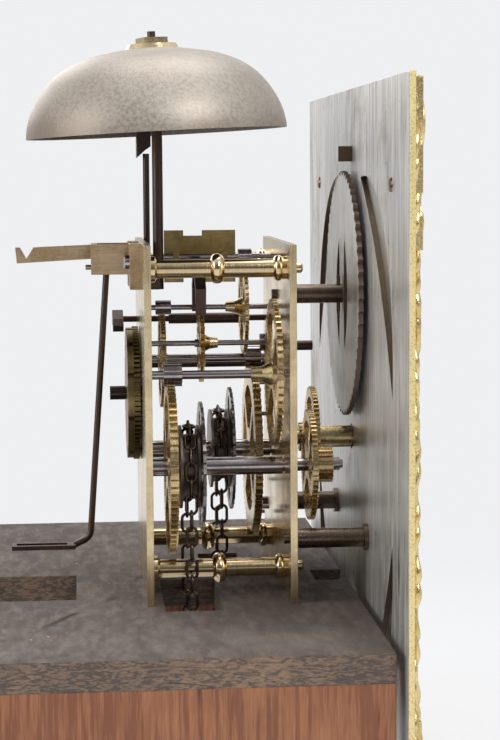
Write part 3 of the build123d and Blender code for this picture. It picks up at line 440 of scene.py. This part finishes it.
class CLOCK_OT_stage(bpy.types.Operator):
    """Pale floor, studio light and the camera"""

    bl_idname = "clock.stage"
    bl_label = "Stage and light"

    def execute(self, context):
        scene = context.scene
        scene.view_settings.view_transform = "Standard"
        paper = colours().paper
        shape = bmesh.new()
        bmesh.ops.create_grid(shape, x_segments=8, y_segments=8, size=FLOOR_HALF)
        mesh = bpy.data.meshes.new("floor")
        shape.to_mesh(mesh)
        shape.free()
        floor = bpy.data.objects.new("floor", mesh)
        scene.collection.objects.link(floor)
        material, sheet, shader = finish_sheet("Floor paper")
        mottle = sheet.noise(sheet.place(), 30.0, 3.0)
        sheet.feed(shader.inputs["Base Color"], sheet.mix(mottle, tuple(paper), (0.84, 0.84, 0.85)))
        shader.inputs["Roughness"].default_value = 0.9
        glow = sheet.add("ShaderNodeEmission", {"Color": tuple(paper), "Strength": 1.0})
        path = sheet.add("ShaderNodeLightPath").outputs
        seen = sheet.math("MAXIMUM", path["Is Camera Ray"], path["Is Glossy Ray"])
        seen = sheet.math("MAXIMUM", seen, path["Is Transmission Ray"])
        spread = sheet.add("ShaderNodeVectorMath", {0: sheet.place()}, operation="LENGTH").outputs["Value"]
        fade = sheet.band(spread, FLOOR_SHADOW_NEAR, FLOOR_SHADOW_FAR, 0.72, 1.0)
        blend = sheet.add("ShaderNodeMixShader", {0: sheet.math("MULTIPLY", seen, fade)})
        sheet.feed(blend.inputs[1], shader.outputs[0])
        sheet.feed(blend.inputs[2], glow.outputs[0])
        sheet.feed(material.node_tree.nodes["Material Output"].inputs["Surface"], blend.outputs[0])
        mesh.materials.append(material)

        world = bpy.data.worlds.new("Studio")
        scene.world = world
        world.use_nodes = True
        sheet = NodeSheet(world.node_tree)
        background = world.node_tree.nodes["Background"]
        way = sheet.split(sheet.add("ShaderNodeTexCoord").outputs["Generated"])
        path = sheet.add("ShaderNodeLightPath").outputs
        rise = sheet.band(way[2], -0.1, 0.7, 0.55, 1.0)
        front = sheet.band(way[1], -0.95, -0.1, 0.22, 1.0)
        soft = sheet.math("MULTIPLY", rise, front)
        plain = sheet.math("MAXIMUM", path["Is Camera Ray"], path["Is Transmission Ray"])
        glossy = sheet.math("MULTIPLY", path["Is Glossy Ray"], soft)
        light = sheet.math("MULTIPLY", soft, 0.62)
        strength = sheet.math("MAXIMUM", plain, sheet.math("MAXIMUM", glossy, light))
        sheet.feed(background.inputs["Color"], tuple(paper))
        sheet.feed(background.inputs["Strength"], strength)

        target = Vector(LAMP_TARGET)
        for name, place, size, energy in LAMPS:
            lamp = bpy.data.lights.new(name, "AREA")
            lamp.shape = "DISK"
            lamp.size = size
            lamp.energy = energy
            item = bpy.data.objects.new(name, lamp)
            item.location = place
            item.rotation_euler = (target - Vector(place)).to_track_quat("-Z", "Y").to_euler()
            scene.collection.objects.link(item)

        yaw, pitch, roll = CAMERA_YAW, CAMERA_PITCH, CAMERA_ROLL
        ahead = Vector((math.sin(yaw) * math.cos(pitch), math.cos(yaw) * math.cos(pitch), math.sin(pitch)))
        right = Vector((math.cos(yaw), -math.sin(yaw), 0.0))
        up = right.cross(ahead)
        right_turned = right * math.cos(roll) + up * math.sin(roll)
        up_turned = up * math.cos(roll) - right * math.sin(roll)
        lens = bpy.data.cameras.new("camera")
        lens.sensor_width = SENSOR_WIDTH
        lens.lens = FOCAL_PIXELS / PICTURE_HEIGHT * SENSOR_WIDTH
        lens.clip_end = 20.0
        camera = bpy.data.objects.new("camera", lens)
        turn = Matrix((right_turned, up_turned, -ahead)).transposed().to_4x4()
        camera.matrix_world = Matrix.Translation(CAMERA_PLACE) @ turn
        scene.collection.objects.link(camera)
        scene.camera = camera
        return {"FINISHED"}


class CLOCK_OT_wood(bpy.types.Operator):
    """Weathered seat board and the pine cheeks under it"""

    bl_idname = "clock.wood"
    bl_label = "Seat board and cheeks"

    def execute(self, context):
        paint = colours()
        material, sheet, shader = finish_sheet("Board wood")
        top = sheet.group("Old wood", {
            "Light": tuple(paint.board_light), "Dark": tuple(paint.board_dark),
            "Grain stretch": (0.22, 0.07, 1.0), "Ring scale": 70.0, "Pore scale": 1100.0, "Splits": 1.0,
        })
        ends = sheet.group("Old wood", {
            "Light": tuple(paint.end_grain), "Dark": tuple(paint.board_dark),
            "Grain stretch": (0.35, 1.0, 1.3), "Ring scale": 120.0, "Pore scale": 1500.0, "Splits": 0.6,
        })
        side = sheet.math("SUBTRACT", 1.0, sheet.math("ABSOLUTE", sheet.facing()[2]), clamp=True)
        spot = sheet.place()
        dust = sheet.band(sheet.noise(spot, 9.0, 5.0, 0.65), 0.5, 0.72, 0.0, 0.45)
        speck = sheet.add("ShaderNodeTexVoronoi", {"Vector": spot, "Scale": 150.0, "Randomness": 1.0})
        chip = sheet.band(speck.outputs["Distance"], 0.085, 0.05)
        chip = sheet.math("MULTIPLY", chip, sheet.band(sheet.noise(spot, 40.0, 2.0), 0.62, 0.68))
        tone = sheet.mix(dust, top["Colour"], (0.24, 0.20, 0.165))
        tone = sheet.mix(side, tone, ends["Colour"])
        sheet.feed(shader.inputs["Base Color"], sheet.mix(chip, tone, (0.72, 0.68, 0.60)))
        sheet.feed(shader.inputs["Roughness"], top["Roughness"])
        height = sheet.math("ADD", sheet.math("MULTIPLY", top["Height"], 0.6), ends["Height"])
        raise_surface(sheet, shader, height, 0.45 * MM, 0.8, 1.2 * MM)
        dress(["seat_board"], material)

        material, sheet, shader = finish_sheet("Cheek pine")
        pine = sheet.group("Old wood", {
            "Light": tuple(paint.cheek_light), "Dark": tuple(paint.cheek_dark),
            "Grain stretch": (1.0, 1.0, 0.05), "Ring scale": 60.0, "Pore scale": 1400.0, "Splits": 0.7,
        })
        stain = sheet.band(sheet.noise(sheet.place(), 16.0, 5.0, 0.7), 0.52, 0.75, 0.0, 0.5)
        sheet.feed(shader.inputs["Base Color"], sheet.mix(stain, pine["Colour"], (0.12, 0.07, 0.045)))
        sheet.feed(shader.inputs["Roughness"], pine["Roughness"])
        raise_surface(sheet, shader, pine["Height"], 0.35 * MM, 0.7, 1.0 * MM)
        dress(["cheek_near", "cheek_far"], material)
        return {"FINISHED"}


class CLOCK_OT_brass(bpy.types.Operator):
    """Plates, pillars, back cock, fly and wheels"""

    bl_idname = "clock.brass"
    bl_label = "Brass work"

    def execute(self, context):
        paint = colours()
        round_edge = sizes().edge_round
        tarnish = tuple(paint.brass_tarnish)
        plate = metal("Plate brass", tuple(paint.brass), tarnish, amount=0.35, patch=42.0,
                      stretch=(1.0, 1.0, 0.04), scratch=1400.0, smooth=0.16, dull=0.4, rounding=round_edge)
        dress(["back_plate", "front_plate"], plate)
        pillar = metal("Pillar brass", tuple(paint.brass), tarnish, amount=0.25, patch=80.0,
                       stretch=(1.0, 0.05, 0.05), scratch=2200.0, smooth=0.09, dull=0.3)
        dress(["pillar_near_low", "pillar_near_high", "pillar_far_low", "pillar_far_high"], pillar)
        cock = metal("Cock brass", tuple(paint.cock), (0.30, 0.19, 0.10), amount=0.6, patch=55.0,
                     stretch=(0.05, 1.0, 1.0), scratch=1800.0, smooth=0.3, dull=0.55, rounding=round_edge)
        dress(["back_cock"], cock)
        aged = metal("Fly brass", tuple(paint.aged), (0.13, 0.085, 0.035), amount=0.6, patch=50.0,
                     stretch=(0.08, 1.0, 1.0), scratch=1500.0, smooth=0.28, dull=0.55, rounding=round_edge)
        dress(["fly_vane"], aged)
        nut = metal("Nut brass", tuple(paint.brass), tarnish, amount=0.2, patch=90.0, smooth=0.14, dull=0.4)
        dress(["bell_nut"], nut)
        wheel = tuple(paint.wheel)
        for name in ("going_great_wheel", "second_wheel", "escape_wheel", "strike_great_wheel", "hoop_wheel",
                     "warning_wheel", "minute_wheel", "report_pinion", "cannon_pinion", "hour_wheel"):
            dress([name], turned_metal(f"{name} brass", wheel, tarnish, tuple(middle(name)), amount=0.45))
        count = turned_metal("Count wheel brass", (0.27, 0.205, 0.10), (0.08, 0.055, 0.03),
                             tuple(middle("count_wheel")), amount=0.55, smooth=0.3, dull=0.55)
        dress(["count_wheel"], count)
        return {"FINISHED"}


class CLOCK_OT_steel(bpy.types.Operator):
    """Arbors, ratchet discs, screws, sprockets and dark iron work"""

    bl_idname = "clock.steel"
    bl_label = "Steel and iron"

    def execute(self, context):
        paint = colours()
        steel = metal("Arbor steel", tuple(paint.steel), (0.15, 0.105, 0.10), amount=0.4, patch=70.0,
                      stretch=(0.04, 1.0, 1.0), scratch=1500.0, smooth=0.13, dull=0.3, bump=0.008)
        dress(["going_arbor", "second_arbor", "escape_arbor", "strike_arbor", "hoop_arbor", "warning_arbor",
               "fly_arbor", "anchor_arbor", "plate_pins", "lifting_pins", "cock_screws"], steel)
        for name in ("going_click_wheel", "strike_click_wheel"):
            disc = turned_metal(f"{name} steel", (0.33, 0.30, 0.28), (0.10, 0.07, 0.055), tuple(middle(name)),
                                amount=0.5, smooth=0.2, dull=0.45)
            dress([name], disc)
        iron = metal("Dark iron", tuple(paint.iron), tuple(paint.rust), amount=0.7, patch=70.0,
                     stretch=(1.0, 1.0, 0.08), scratch=1300.0, smooth=0.26, dull=0.6, bump=0.05)
        dress(["bell_stand", "crutch", "hammer_arbor", "hammer_head", "detent", "anchor", "seat_bolts",
               "count_stud", "centre_stud"], iron)
        worn = metal("Sprocket iron", (0.17, 0.14, 0.12), tuple(paint.rust), amount=0.6, patch=90.0,
                     scratch=1500.0, smooth=0.3, dull=0.6, bump=0.05)
        dress(["going_sprocket", "strike_sprocket"], worn)
        foot = metal("Dial foot steel", (0.19, 0.145, 0.11), (0.09, 0.06, 0.045), amount=0.6, patch=80.0,
                     stretch=(1.0, 0.05, 0.05), scratch=2000.0, smooth=0.24, dull=0.5)
        dress(["dial_foot_upper", "dial_foot_near", "dial_foot_far"], foot)
        blued = metal("Blued hands", tuple(paint.blued), (0.05, 0.03, 0.05), amount=0.4, patch=120.0,
                      scratch=1600.0, smooth=0.16, dull=0.35, rounding=sizes().edge_round)
        dress(["hour_hand", "minute_hand"], blued)
        return {"FINISHED"}


class CLOCK_OT_bell(bpy.types.Operator):
    """Cast bell with a pitted skin, darker towards the rim, with painted shade on its left side and its
    underside
    """

    bl_idname = "clock.bell"
    bl_label = "Bell"

    def execute(self, context):
        paint = colours()
        low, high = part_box("bell")
        material, sheet, shader = finish_sheet("Bell metal")
        spot = sheet.place()
        face = sheet.facing("Normal")
        place = sheet.split(spot)
        cloud = sheet.noise(spot, 16.0, 4.0, 0.5)
        sand = sheet.noise(spot, 620.0, 3.0, 0.65)
        grit = sheet.noise(spot, 1500.0, 2.0, 0.7)
        pit = sheet.add("ShaderNodeTexVoronoi", {"Vector": spot, "Scale": 950.0, "Randomness": 1.0})
        pits = sheet.band(pit.outputs["Distance"], 0.34, 0.12)
        where = sheet.band(sheet.noise(spot, 45.0, 3.0, 0.6), 0.42, 0.62)
        upper = sheet.band(place[2], low.z + 0.012, high.z - 0.006)
        where = sheet.math("MULTIPLY", where, sheet.math("ADD", upper, 0.25, clamp=True))
        pits = sheet.math("MULTIPLY", pits, where)
        # Painted shade: the left side of the bell turns towards the dark brown, as the side away from the key
        # lamp.
        left = sheet.band(place[0], low.x + 0.035, low.x, 0.0, 0.7)
        # Brown cloud patches of the skin, with the painted shade of the left side added in.
        brown = sheet.math("ADD", sheet.math("MULTIPLY", sheet.band(cloud, 0.4, 0.72), 0.4), left)
        # Darker towards the bottom edge of the rim.
        rim = sheet.band(place[2], low.z + 0.014, low.z + 0.001, 0.0, 0.35)
        grain = sheet.band(sand, 0.62, 0.36, 0.0, 0.45)
        brown_and_shade_mask = sheet.math("ADD", sheet.math("ADD", brown, rim), grain, clamp=True)
        tone = sheet.mix(brown_and_shade_mask, tuple(paint.bell_light), tuple(paint.bell_brown_and_shade))
        tone = sheet.mix(sheet.math("MULTIPLY", pits, 0.5), tone, tuple(paint.bell_brown_and_shade))
        # Painted shade: faces that point down, under the bell, turn nearly black.
        painted_underside_shade = sheet.band(face[2], 0.02, -0.25)
        tone = sheet.mix(painted_underside_shade, tone, (0.06, 0.048, 0.04))
        sheet.feed(shader.inputs["Base Color"], tone)
        shader.inputs["Metallic"].default_value = 0.55
        rough = sheet.math("ADD", sheet.band(sand, 0.3, 0.7, 0.4, 0.56), sheet.math("MULTIPLY", pits, 0.15))
        sheet.feed(shader.inputs["Roughness"], rough)
        height = sheet.math("ADD", sheet.math("MULTIPLY", sand, 0.8), sheet.math("MULTIPLY", grit, 0.3))
        height = sheet.math("SUBTRACT", height, sheet.math("MULTIPLY", pits, 1.2))
        raise_surface(sheet, shader, height, 0.16 * MM, 0.75)
        dress(["bell"], material)
        return {"FINISHED"}


def link_shape(shape, place, along, normal, half_long, half_wide, wire):
    """One chain link: a round wire bent to a long oval in the plane across the normal."""
    across = normal.cross(along)
    turn_r = half_wide - wire
    straight = half_long - wire - turn_r
    path = []
    for step in range(LINK_CORNERS):
        angle = math.tau * step / LINK_CORNERS + math.pi / LINK_CORNERS
        shift = straight if math.cos(angle) > 0 else -straight
        path.append((math.cos(angle) * turn_r + shift, math.sin(angle) * turn_r, angle))
    rings = []
    for reach, side, angle in path:
        out = along * math.cos(angle) + across * math.sin(angle)
        centre = place + along * reach + across * side
        ring = []
        for k in range(WIRE_SIDES):
            turn = math.tau * k / WIRE_SIDES
            ring.append(shape.verts.new(centre + (out * math.cos(turn) + normal * math.sin(turn)) * wire))
        rings.append(ring)
    for index, ring in enumerate(rings):
        following = rings[(index + 1) % len(rings)]
        for k in range(WIRE_SIDES):
            after = (k + 1) % WIRE_SIDES
            shape.faces.new((ring[k], ring[after], following[after], following[k]))


class CLOCK_OT_chains(bpy.types.Operator):
    """Round-wire links over both sprockets"""

    bl_idname = "clock.chains"
    bl_label = "Chains"

    def execute(self, context):
        size = sizes()
        iron = metal("Chain iron", (0.13, 0.10, 0.085), (0.07, 0.04, 0.025), amount=0.65, patch=160.0,
                     scratch=1800.0, smooth=0.24, dull=0.5, bump=0.06)
        chain_r = size.link_pitch / (2 * math.tan(math.pi / LINKS_PER_TURN))
        half_long = (size.link_pitch + 2.7 * MM) / 2
        for name, sprocket in (("going_chain", "going_sprocket"), ("strike_chain", "strike_sprocket")):
            hub = middle(sprocket)
            stations = []
            for step in range(LINKS_PER_TURN // 2 + 1):
                angle = math.tau * step / LINKS_PER_TURN
                place = hub + Vector((0, math.cos(angle), math.sin(angle))) * chain_r
                stations.append((place, angle + math.pi / 2, step))
            for step in range(1, size.strand_links + 1):
                for side in (-1, 1):
                    place = hub + Vector((0, side * chain_r, -step * size.link_pitch))
                    stations.append((place, math.pi / 2, step))

            def links(shape):
                for place, angle, step in stations:
                    along = Vector((0, math.cos(angle), math.sin(angle)))
                    across = Vector((0, -math.sin(angle), math.cos(angle)))
                    normal = across if step % 2 == 0 else Vector((1, 0, 0))
                    link_shape(shape, place, along, normal, half_long, size.link_width / 2, size.link_wire)

            piece = new_piece(f"{name}_links", links, iron, "movement")
            smooth_faces(piece)
            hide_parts(name)
        return {"FINISHED"}


class CLOCK_OT_dial(bpy.types.Operator):
    """Dial plate, calendar wheel, chapter ring, corner pieces, border and screw ends"""

    bl_idname = "clock.dial"
    bl_label = "Dial"

    def execute(self, context):
        paint = colours()
        centre = middle("centre_stud")
        material, sheet, shader = finish_sheet("Dial plate metal")
        spot = sheet.place()
        face = sheet.facing()
        scrape = sheet.noise(sheet.place((1.0, 1.0, 0.05)), 420.0, 4.0, 0.65)
        swirl = sheet.noise(sheet.place((1.0, 0.3, 0.1)), 60.0, 5.0, 0.65)
        cloud = sheet.noise(spot, 17.0, 6.0, 0.65)
        spots = sheet.noise(spot, 120.0, 4.0, 0.7)
        specks = sheet.band(spots, 0.62, 0.74, 0.0, 0.6)
        stain = sheet.math("ADD", sheet.band(cloud, 0.5, 0.78, 0.0, 0.8), specks, clamp=True)
        back = sheet.mix(stain, tuple(paint.dial_back), tuple(paint.dial_stain))
        back = sheet.mix(sheet.band(swirl, 0.5, 0.7, 0.0, 0.4), back, (0.70, 0.69, 0.67))
        streak = sheet.scaled(back, sheet.band(scrape, 0.32, 0.68, 0.68, 1.16))
        nick = sheet.noise(sheet.place((1.0, 1.0, 0.12)), 210.0, 3.0, 0.6)
        nicks = sheet.math("MULTIPLY", sheet.band(nick, 0.61, 0.70), sheet.band(cloud, 0.35, 0.6, 0.2, 0.8))
        scraped = sheet.mix(nicks, streak, (0.12, 0.095, 0.075))
        stipple = sheet.add("ShaderNodeTexVoronoi", {"Vector": spot, "Scale": 900.0, "Randomness": 1.0})
        punched = sheet.band(stipple.outputs["Distance"], 0.1, 0.5)
        matted = sheet.mix(punched, (0.66, 0.50, 0.20), tuple(paint.gilt))
        gilt_worn = sheet.mix(sheet.band(cloud, 0.5, 0.75, 0.0, 0.5), matted, tuple(paint.brass_tarnish))
        rear = sheet.band(face[0], -0.2, -0.7)
        low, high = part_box("dial_plate")
        place = sheet.split(spot)
        away_y = sheet.math("ABSOLUTE", sheet.math("SUBTRACT", place[1], (low.y + high.y) / 2))
        away_z = sheet.math("ABSOLUTE", sheet.math("SUBTRACT", place[2], (low.z + high.z) / 2))
        outline = (high.y - low.y) / 2
        outer = sheet.band(sheet.math("MAXIMUM", away_y, away_z), outline - 0.8 * MM, outline - 0.4 * MM)
        gilded = sheet.math("MAXIMUM", sheet.band(face[0], 0.2, 0.7), outer)
        walls = sheet.mix(gilded, (0.11, 0.075, 0.045), gilt_worn)
        sheet.feed(shader.inputs["Base Color"], sheet.mix(rear, walls, scraped))
        shader.inputs["Metallic"].default_value = 0.55
        dull = sheet.math("ADD", sheet.band(scrape, 0.3, 0.7, 0.3, 0.46), sheet.math("MULTIPLY", stain, 0.18))
        sheet.feed(shader.inputs["Roughness"], dull)
        bumps = sheet.math("MULTIPLY", stipple.outputs["Distance"], sheet.math("SUBTRACT", 1.0, rear))
        high = sheet.math("ADD", sheet.math("MULTIPLY", scrape, 0.4), bumps)
        raise_surface(sheet, shader, high, 0.12 * MM, 0.7, 0.4 * MM)
        dress(["dial_plate", "dial_post"], material)

        material, sheet, shader = finish_sheet("Calendar wheel metal")
        spot = sheet.place()
        scrape = sheet.noise(sheet.place((1.0, 1.0, 0.06)), 520.0, 4.0, 0.65)
        cloud = sheet.noise(spot, 26.0, 6.0, 0.65)
        stain = sheet.band(cloud, 0.42, 0.75, 0.0, 0.8)
        tone = sheet.mix(stain, (0.66, 0.645, 0.615), tuple(paint.dial_stain))
        streak = sheet.scaled(tone, sheet.band(scrape, 0.3, 0.7, 0.78, 1.15))
        rim = sheet.band(sheet.math("ABSOLUTE", sheet.facing()[0]), 0.6, 0.3)
        marks = sheet.noise(sheet.place((1.0, 1.0, 0.16)), 260.0, 3.0, 0.6)
        worn = sheet.mix(sheet.band(marks, 0.66, 0.74, 0.0, 0.65), streak, (0.15, 0.12, 0.10))
        sheet.feed(shader.inputs["Base Color"], sheet.mix(rim, worn, (0.17, 0.12, 0.09)))
        shader.inputs["Metallic"].default_value = 0.3
        sheet.feed(shader.inputs["Roughness"], sheet.band(scrape, 0.3, 0.7, 0.34, 0.5))
        raise_surface(sheet, shader, scrape, 0.06 * MM, 0.7)
        dress(["calendar_wheel"], material)

        ring = turned_metal("Chapter silvering", tuple(paint.silver), (0.38, 0.34, 0.27), tuple(centre),
                            amount=0.3, smooth=0.32, dull=0.5, rings=2600.0)
        dress(["chapter_ring"], ring)
        gilt = metal("Spandrel gilding", tuple(paint.gilt), (0.46, 0.30, 0.10), amount=0.45, patch=85.0,
                     scratch=1200.0, smooth=0.2, dull=0.45, bump=0.12, rounding=0.5 * MM)
        dress(["spandrels"], gilt)
        self.add_engraving(centre)
        self.add_scrolls(gilt)
        self.add_border(gilt)
        self.add_screw_ends(centre)
        return {"FINISHED"}

    def add_engraving(self, centre):
        """Hour numerals, minute track and circles, filled with black wax."""
        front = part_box("chapter_ring")[1].x + 0.02 * MM
        wax = metal("Engraving wax", tuple(colours().ink), (0.05, 0.04, 0.03), amount=0.4, patch=200.0,
                    smooth=0.5, dull=0.8)
        wax.node_tree.nodes["Principled BSDF"].inputs["Metallic"].default_value = 0.0
        tall = sizes().numeral_height

        def stroke(shape, spin, start, end, width):
            """Flat bar from start to end as (sideways, outwards), turned about the dial centre."""
            away = Vector((end[0] - start[0], end[1] - start[1]))
            side = Vector((away.y, -away.x)).normalized() * width / 2
            corners = []
            for point, sign in ((start, 1), (start, -1), (end, -1), (end, 1)):
                flat = Vector((point[0] + side.x * sign, point[1] + side.y * sign))
                corners.append(shape.verts.new((
                    front,
                    centre.y + flat.x * math.cos(spin) - flat.y * math.sin(spin),
                    centre.z + flat.x * math.sin(spin) + flat.y * math.cos(spin),
                )))
            shape.faces.new(corners)

        def engraving(shape):
            foot, head = NUMERAL_FOOT, NUMERAL_FOOT + tall
            for hour, numeral in enumerate(NUMERALS):
                spin = -math.tau * hour / len(NUMERALS)
                total = sum(LETTER_WIDTHS[letter] for letter in numeral)
                left = -total / 2
                for letter in numeral:
                    wide = LETTER_WIDTHS[letter]
                    mid = left + wide / 2
                    start, end = left + 1.6 * MM, left + wide - 1.6 * MM
                    if letter == "I":
                        stroke(shape, spin, (mid, foot), (mid, head), THICK_STROKE)
                    elif letter == "V":
                        stroke(shape, spin, (start, head), (mid, foot), THICK_STROKE)
                        stroke(shape, spin, (mid, foot), (left + wide - 1.4 * MM, head), THIN_STROKE)
                    else:
                        stroke(shape, spin, (start, head), (end, foot), THICK_STROKE)
                        stroke(shape, spin, (start, foot), (end, head), THIN_STROKE)
                    left += wide
                for level in (foot, head):
                    stroke(shape, spin, (-total / 2, level), (total / 2, level), FINE_LINE)
            for minute in range(60):
                spin = -math.tau * minute / 60
                width = 1.4 * MM if minute % 5 == 0 else FINE_LINE
                stroke(shape, spin, (0, MINUTE_TRACK[0]), (0, MINUTE_TRACK[1]), width)
            for quarter in range(48):
                if quarter % 4:
                    spin = -math.tau * quarter / 48
                    stroke(shape, spin, (0, QUARTER_TRACK[0]), (0, QUARTER_TRACK[1]), FINE_LINE)
            for radius in RING_CIRCLES:
                for step in range(CIRCLE_STEPS):
                    spin = -math.tau * (step + 0.5) / CIRCLE_STEPS
                    half = radius * math.tan(math.pi / CIRCLE_STEPS)
                    stroke(shape, spin, (-half, radius), (half, radius), 0.4 * MM)

        piece = new_piece("chapter_engraving", engraving, wax, "movement")
        for face in piece.data.polygons:
            if face.normal.x < 0:
                face.flip()

    def add_scrolls(self, gilt):
        """Leafy scrolls cast on the four corner pieces."""
        low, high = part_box("spandrels")
        centre = (low + high) / 2
        for row, side_y in (("near", -1), ("far", 1)):
            for level, side_z in (("low", -1), ("high", 1)):
                curve = bpy.data.curves.new(f"scrolls_{row}_{level}", "CURVE")
                curve.dimensions = "3D"
                curve.bevel_depth = 1.15 * MM
                curve.bevel_resolution = 2
                curve.resolution_u = 6
                corner = Vector((
                    low.x + 2.9 * MM,
                    centre.y + side_y * (high.y - centre.y),
                    centre.z + side_z * (high.z - centre.z),
                ))
                for turns, start, size, mirror in SCROLLS:
                    spline = curve.splines.new("NURBS")
                    spline.points.add(SCROLL_POINTS - 1)
                    for index in range(SCROLL_POINTS):
                        share = index / (SCROLL_POINTS - 1)
                        angle = mirror * (math.tau * turns * share) + math.pi / 4
                        reach = size * (1.0 - 0.82 * share)
                        along = start[0] + math.cos(angle) * reach
                        across = start[1] + math.sin(angle) * reach
                        spline.points[index].co = (
                            corner.x + 1.0 * MM * math.sin(math.pi * share),
                            corner.y - side_y * along * MM,
                            corner.z - side_z * across * MM,
                            1.0,
                        )
                        spline.points[index].radius = 1.25 - 0.75 * share
                    spline.use_endpoint_u = True
                curve.materials.append(gilt)
                piece = bpy.data.objects.new(f"spandrel_scrolls_{row}_{level}", curve)
                bpy.context.scene.collection.objects.link(piece)
                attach(piece, "movement")

    def add_border(self, gilt):
        """Two wavy cast strands along each side of the dial's front."""
        low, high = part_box("dial_plate")
        centre = (low + high) / 2
        reach = (high.y - low.y) / 2 - 3.6 * MM
        curve = bpy.data.curves.new("dial_border", "CURVE")
        curve.dimensions = "3D"
        curve.bevel_depth = 1.3 * MM
        curve.bevel_resolution = 2
        curve.resolution_u = 3
        for quarter in range(4):
            along = Vector((0, math.cos(quarter * math.pi / 2), math.sin(quarter * math.pi / 2)))
            away = Vector((0, -along.z, along.y))
            for phase in (0.0, math.pi):
                spline = curve.splines.new("NURBS")
                count = BORDER_WAVES * BORDER_STEPS + 1
                spline.points.add(count - 1)
                for index in range(count):
                    angle = math.tau * index / BORDER_STEPS + phase
                    out = reach + 1.2 * MM * math.sin(angle * 0.77 + quarter)
                    place = Vector((high.x, centre.y, centre.z)) + away * out
                    place += along * reach * (2 * index / (count - 1) - 1)
                    place.x += (0.8 + 0.6 * math.cos(angle * 0.63)) * MM
                    spline.points[index].co = (*place, 1.0)
                    swell = 0.3 * math.sin(angle * 1.31) + 0.2 * math.sin(angle * 0.29)
                    spline.points[index].radius = 1.0 + swell
                spline.use_endpoint_u = True
        curve.materials.append(gilt)
        piece = bpy.data.objects.new("dial_border", curve)
        bpy.context.scene.collection.objects.link(piece)
        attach(piece, "movement")

    def add_screw_ends(self, centre):
        """Hammered ends of the screws that hold the corner pieces, seen on the dial's back."""
        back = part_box("dial_plate")[0].x
        copper = metal("Screw end metal", (0.34, 0.22, 0.17), (0.12, 0.075, 0.055), amount=0.6, patch=300.0,
                       smooth=0.3, dull=0.55, bump=0.1)

        def ring(shape, middle_y, middle_z, out, depth):
            corners = []
            for k in range(SCREW_LOBES):
                turn = math.tau * k / SCREW_LOBES
                reach = out * (3.6 - k % 2) * MM
                corners.append(shape.verts.new((
                    back + depth * MM, middle_y + math.cos(turn) * reach, middle_z + math.sin(turn) * reach
                )))
            return corners

        def ends(shape):
            for side_y in (-1, 1):
                for side_z in (-1, 1):
                    middle_y = centre.y + side_y * SCREW_OFFSET
                    middle_z = centre.z + side_z * SCREW_OFFSET
                    rings = [ring(shape, middle_y, middle_z, out, depth) for out, depth in SCREW_RINGS]
                    for first, second in zip(rings, rings[1:]):
                        for k in range(SCREW_LOBES):
                            following = (k + 1) % SCREW_LOBES
                            shape.faces.new((first[k], first[following], second[following], second[k]))
                    shape.faces.new(rings[-1])
                    shape.faces.new(list(reversed(rings[0])))

        new_piece("screw_ends", ends, copper, "movement")


class CLOCK_PT_panel(bpy.types.Panel):
    """Buttons for the pieces, then the sizes and colours"""

    bl_label = "Longcase clock"
    bl_idname = "CLOCK_PT_panel"
    bl_space_type = "VIEW_3D"
    bl_region_type = "UI"
    bl_category = "Clock"

    def draw(self, context):
        for operator in OPERATORS:
            self.layout.operator(operator.bl_idname)
        for group in (context.scene.clock_sizes, context.scene.clock_colours):
            for name in group.bl_rna.properties.keys():
                if name not in ("rna_type", "name"):
                    self.layout.prop(group, name)


OPERATORS = (
    CLOCK_OT_stage,
    CLOCK_OT_wood,
    CLOCK_OT_brass,
    CLOCK_OT_steel,
    CLOCK_OT_bell,
    CLOCK_OT_chains,
    CLOCK_OT_dial,
)
CLASSES = (ClockColours, ClockSizes, *OPERATORS, CLOCK_PT_panel)


def register():
    """Add the classes and the scene's properties."""
    for item in CLASSES:
        bpy.utils.register_class(item)
    bpy.types.Scene.clock_colours = PointerProperty(type=ClockColours)
    bpy.types.Scene.clock_sizes = PointerProperty(type=ClockSizes)


def unregister():
    """Take away what register added."""
    del bpy.types.Scene.clock_sizes
    del bpy.types.Scene.clock_colours
    for item in reversed(CLASSES):
        bpy.utils.unregister_class(item)


def main():
    """Build every piece."""
    register()
    build_metal_skin()
    build_turned_rings()
    build_old_wood()
    bpy.ops.clock.stage()
    bpy.ops.clock.wood()
    bpy.ops.clock.brass()
    bpy.ops.clock.steel()
    bpy.ops.clock.bell()
    bpy.ops.clock.chains()
    bpy.ops.clock.dial()


if __name__ == "__main__":
    main()
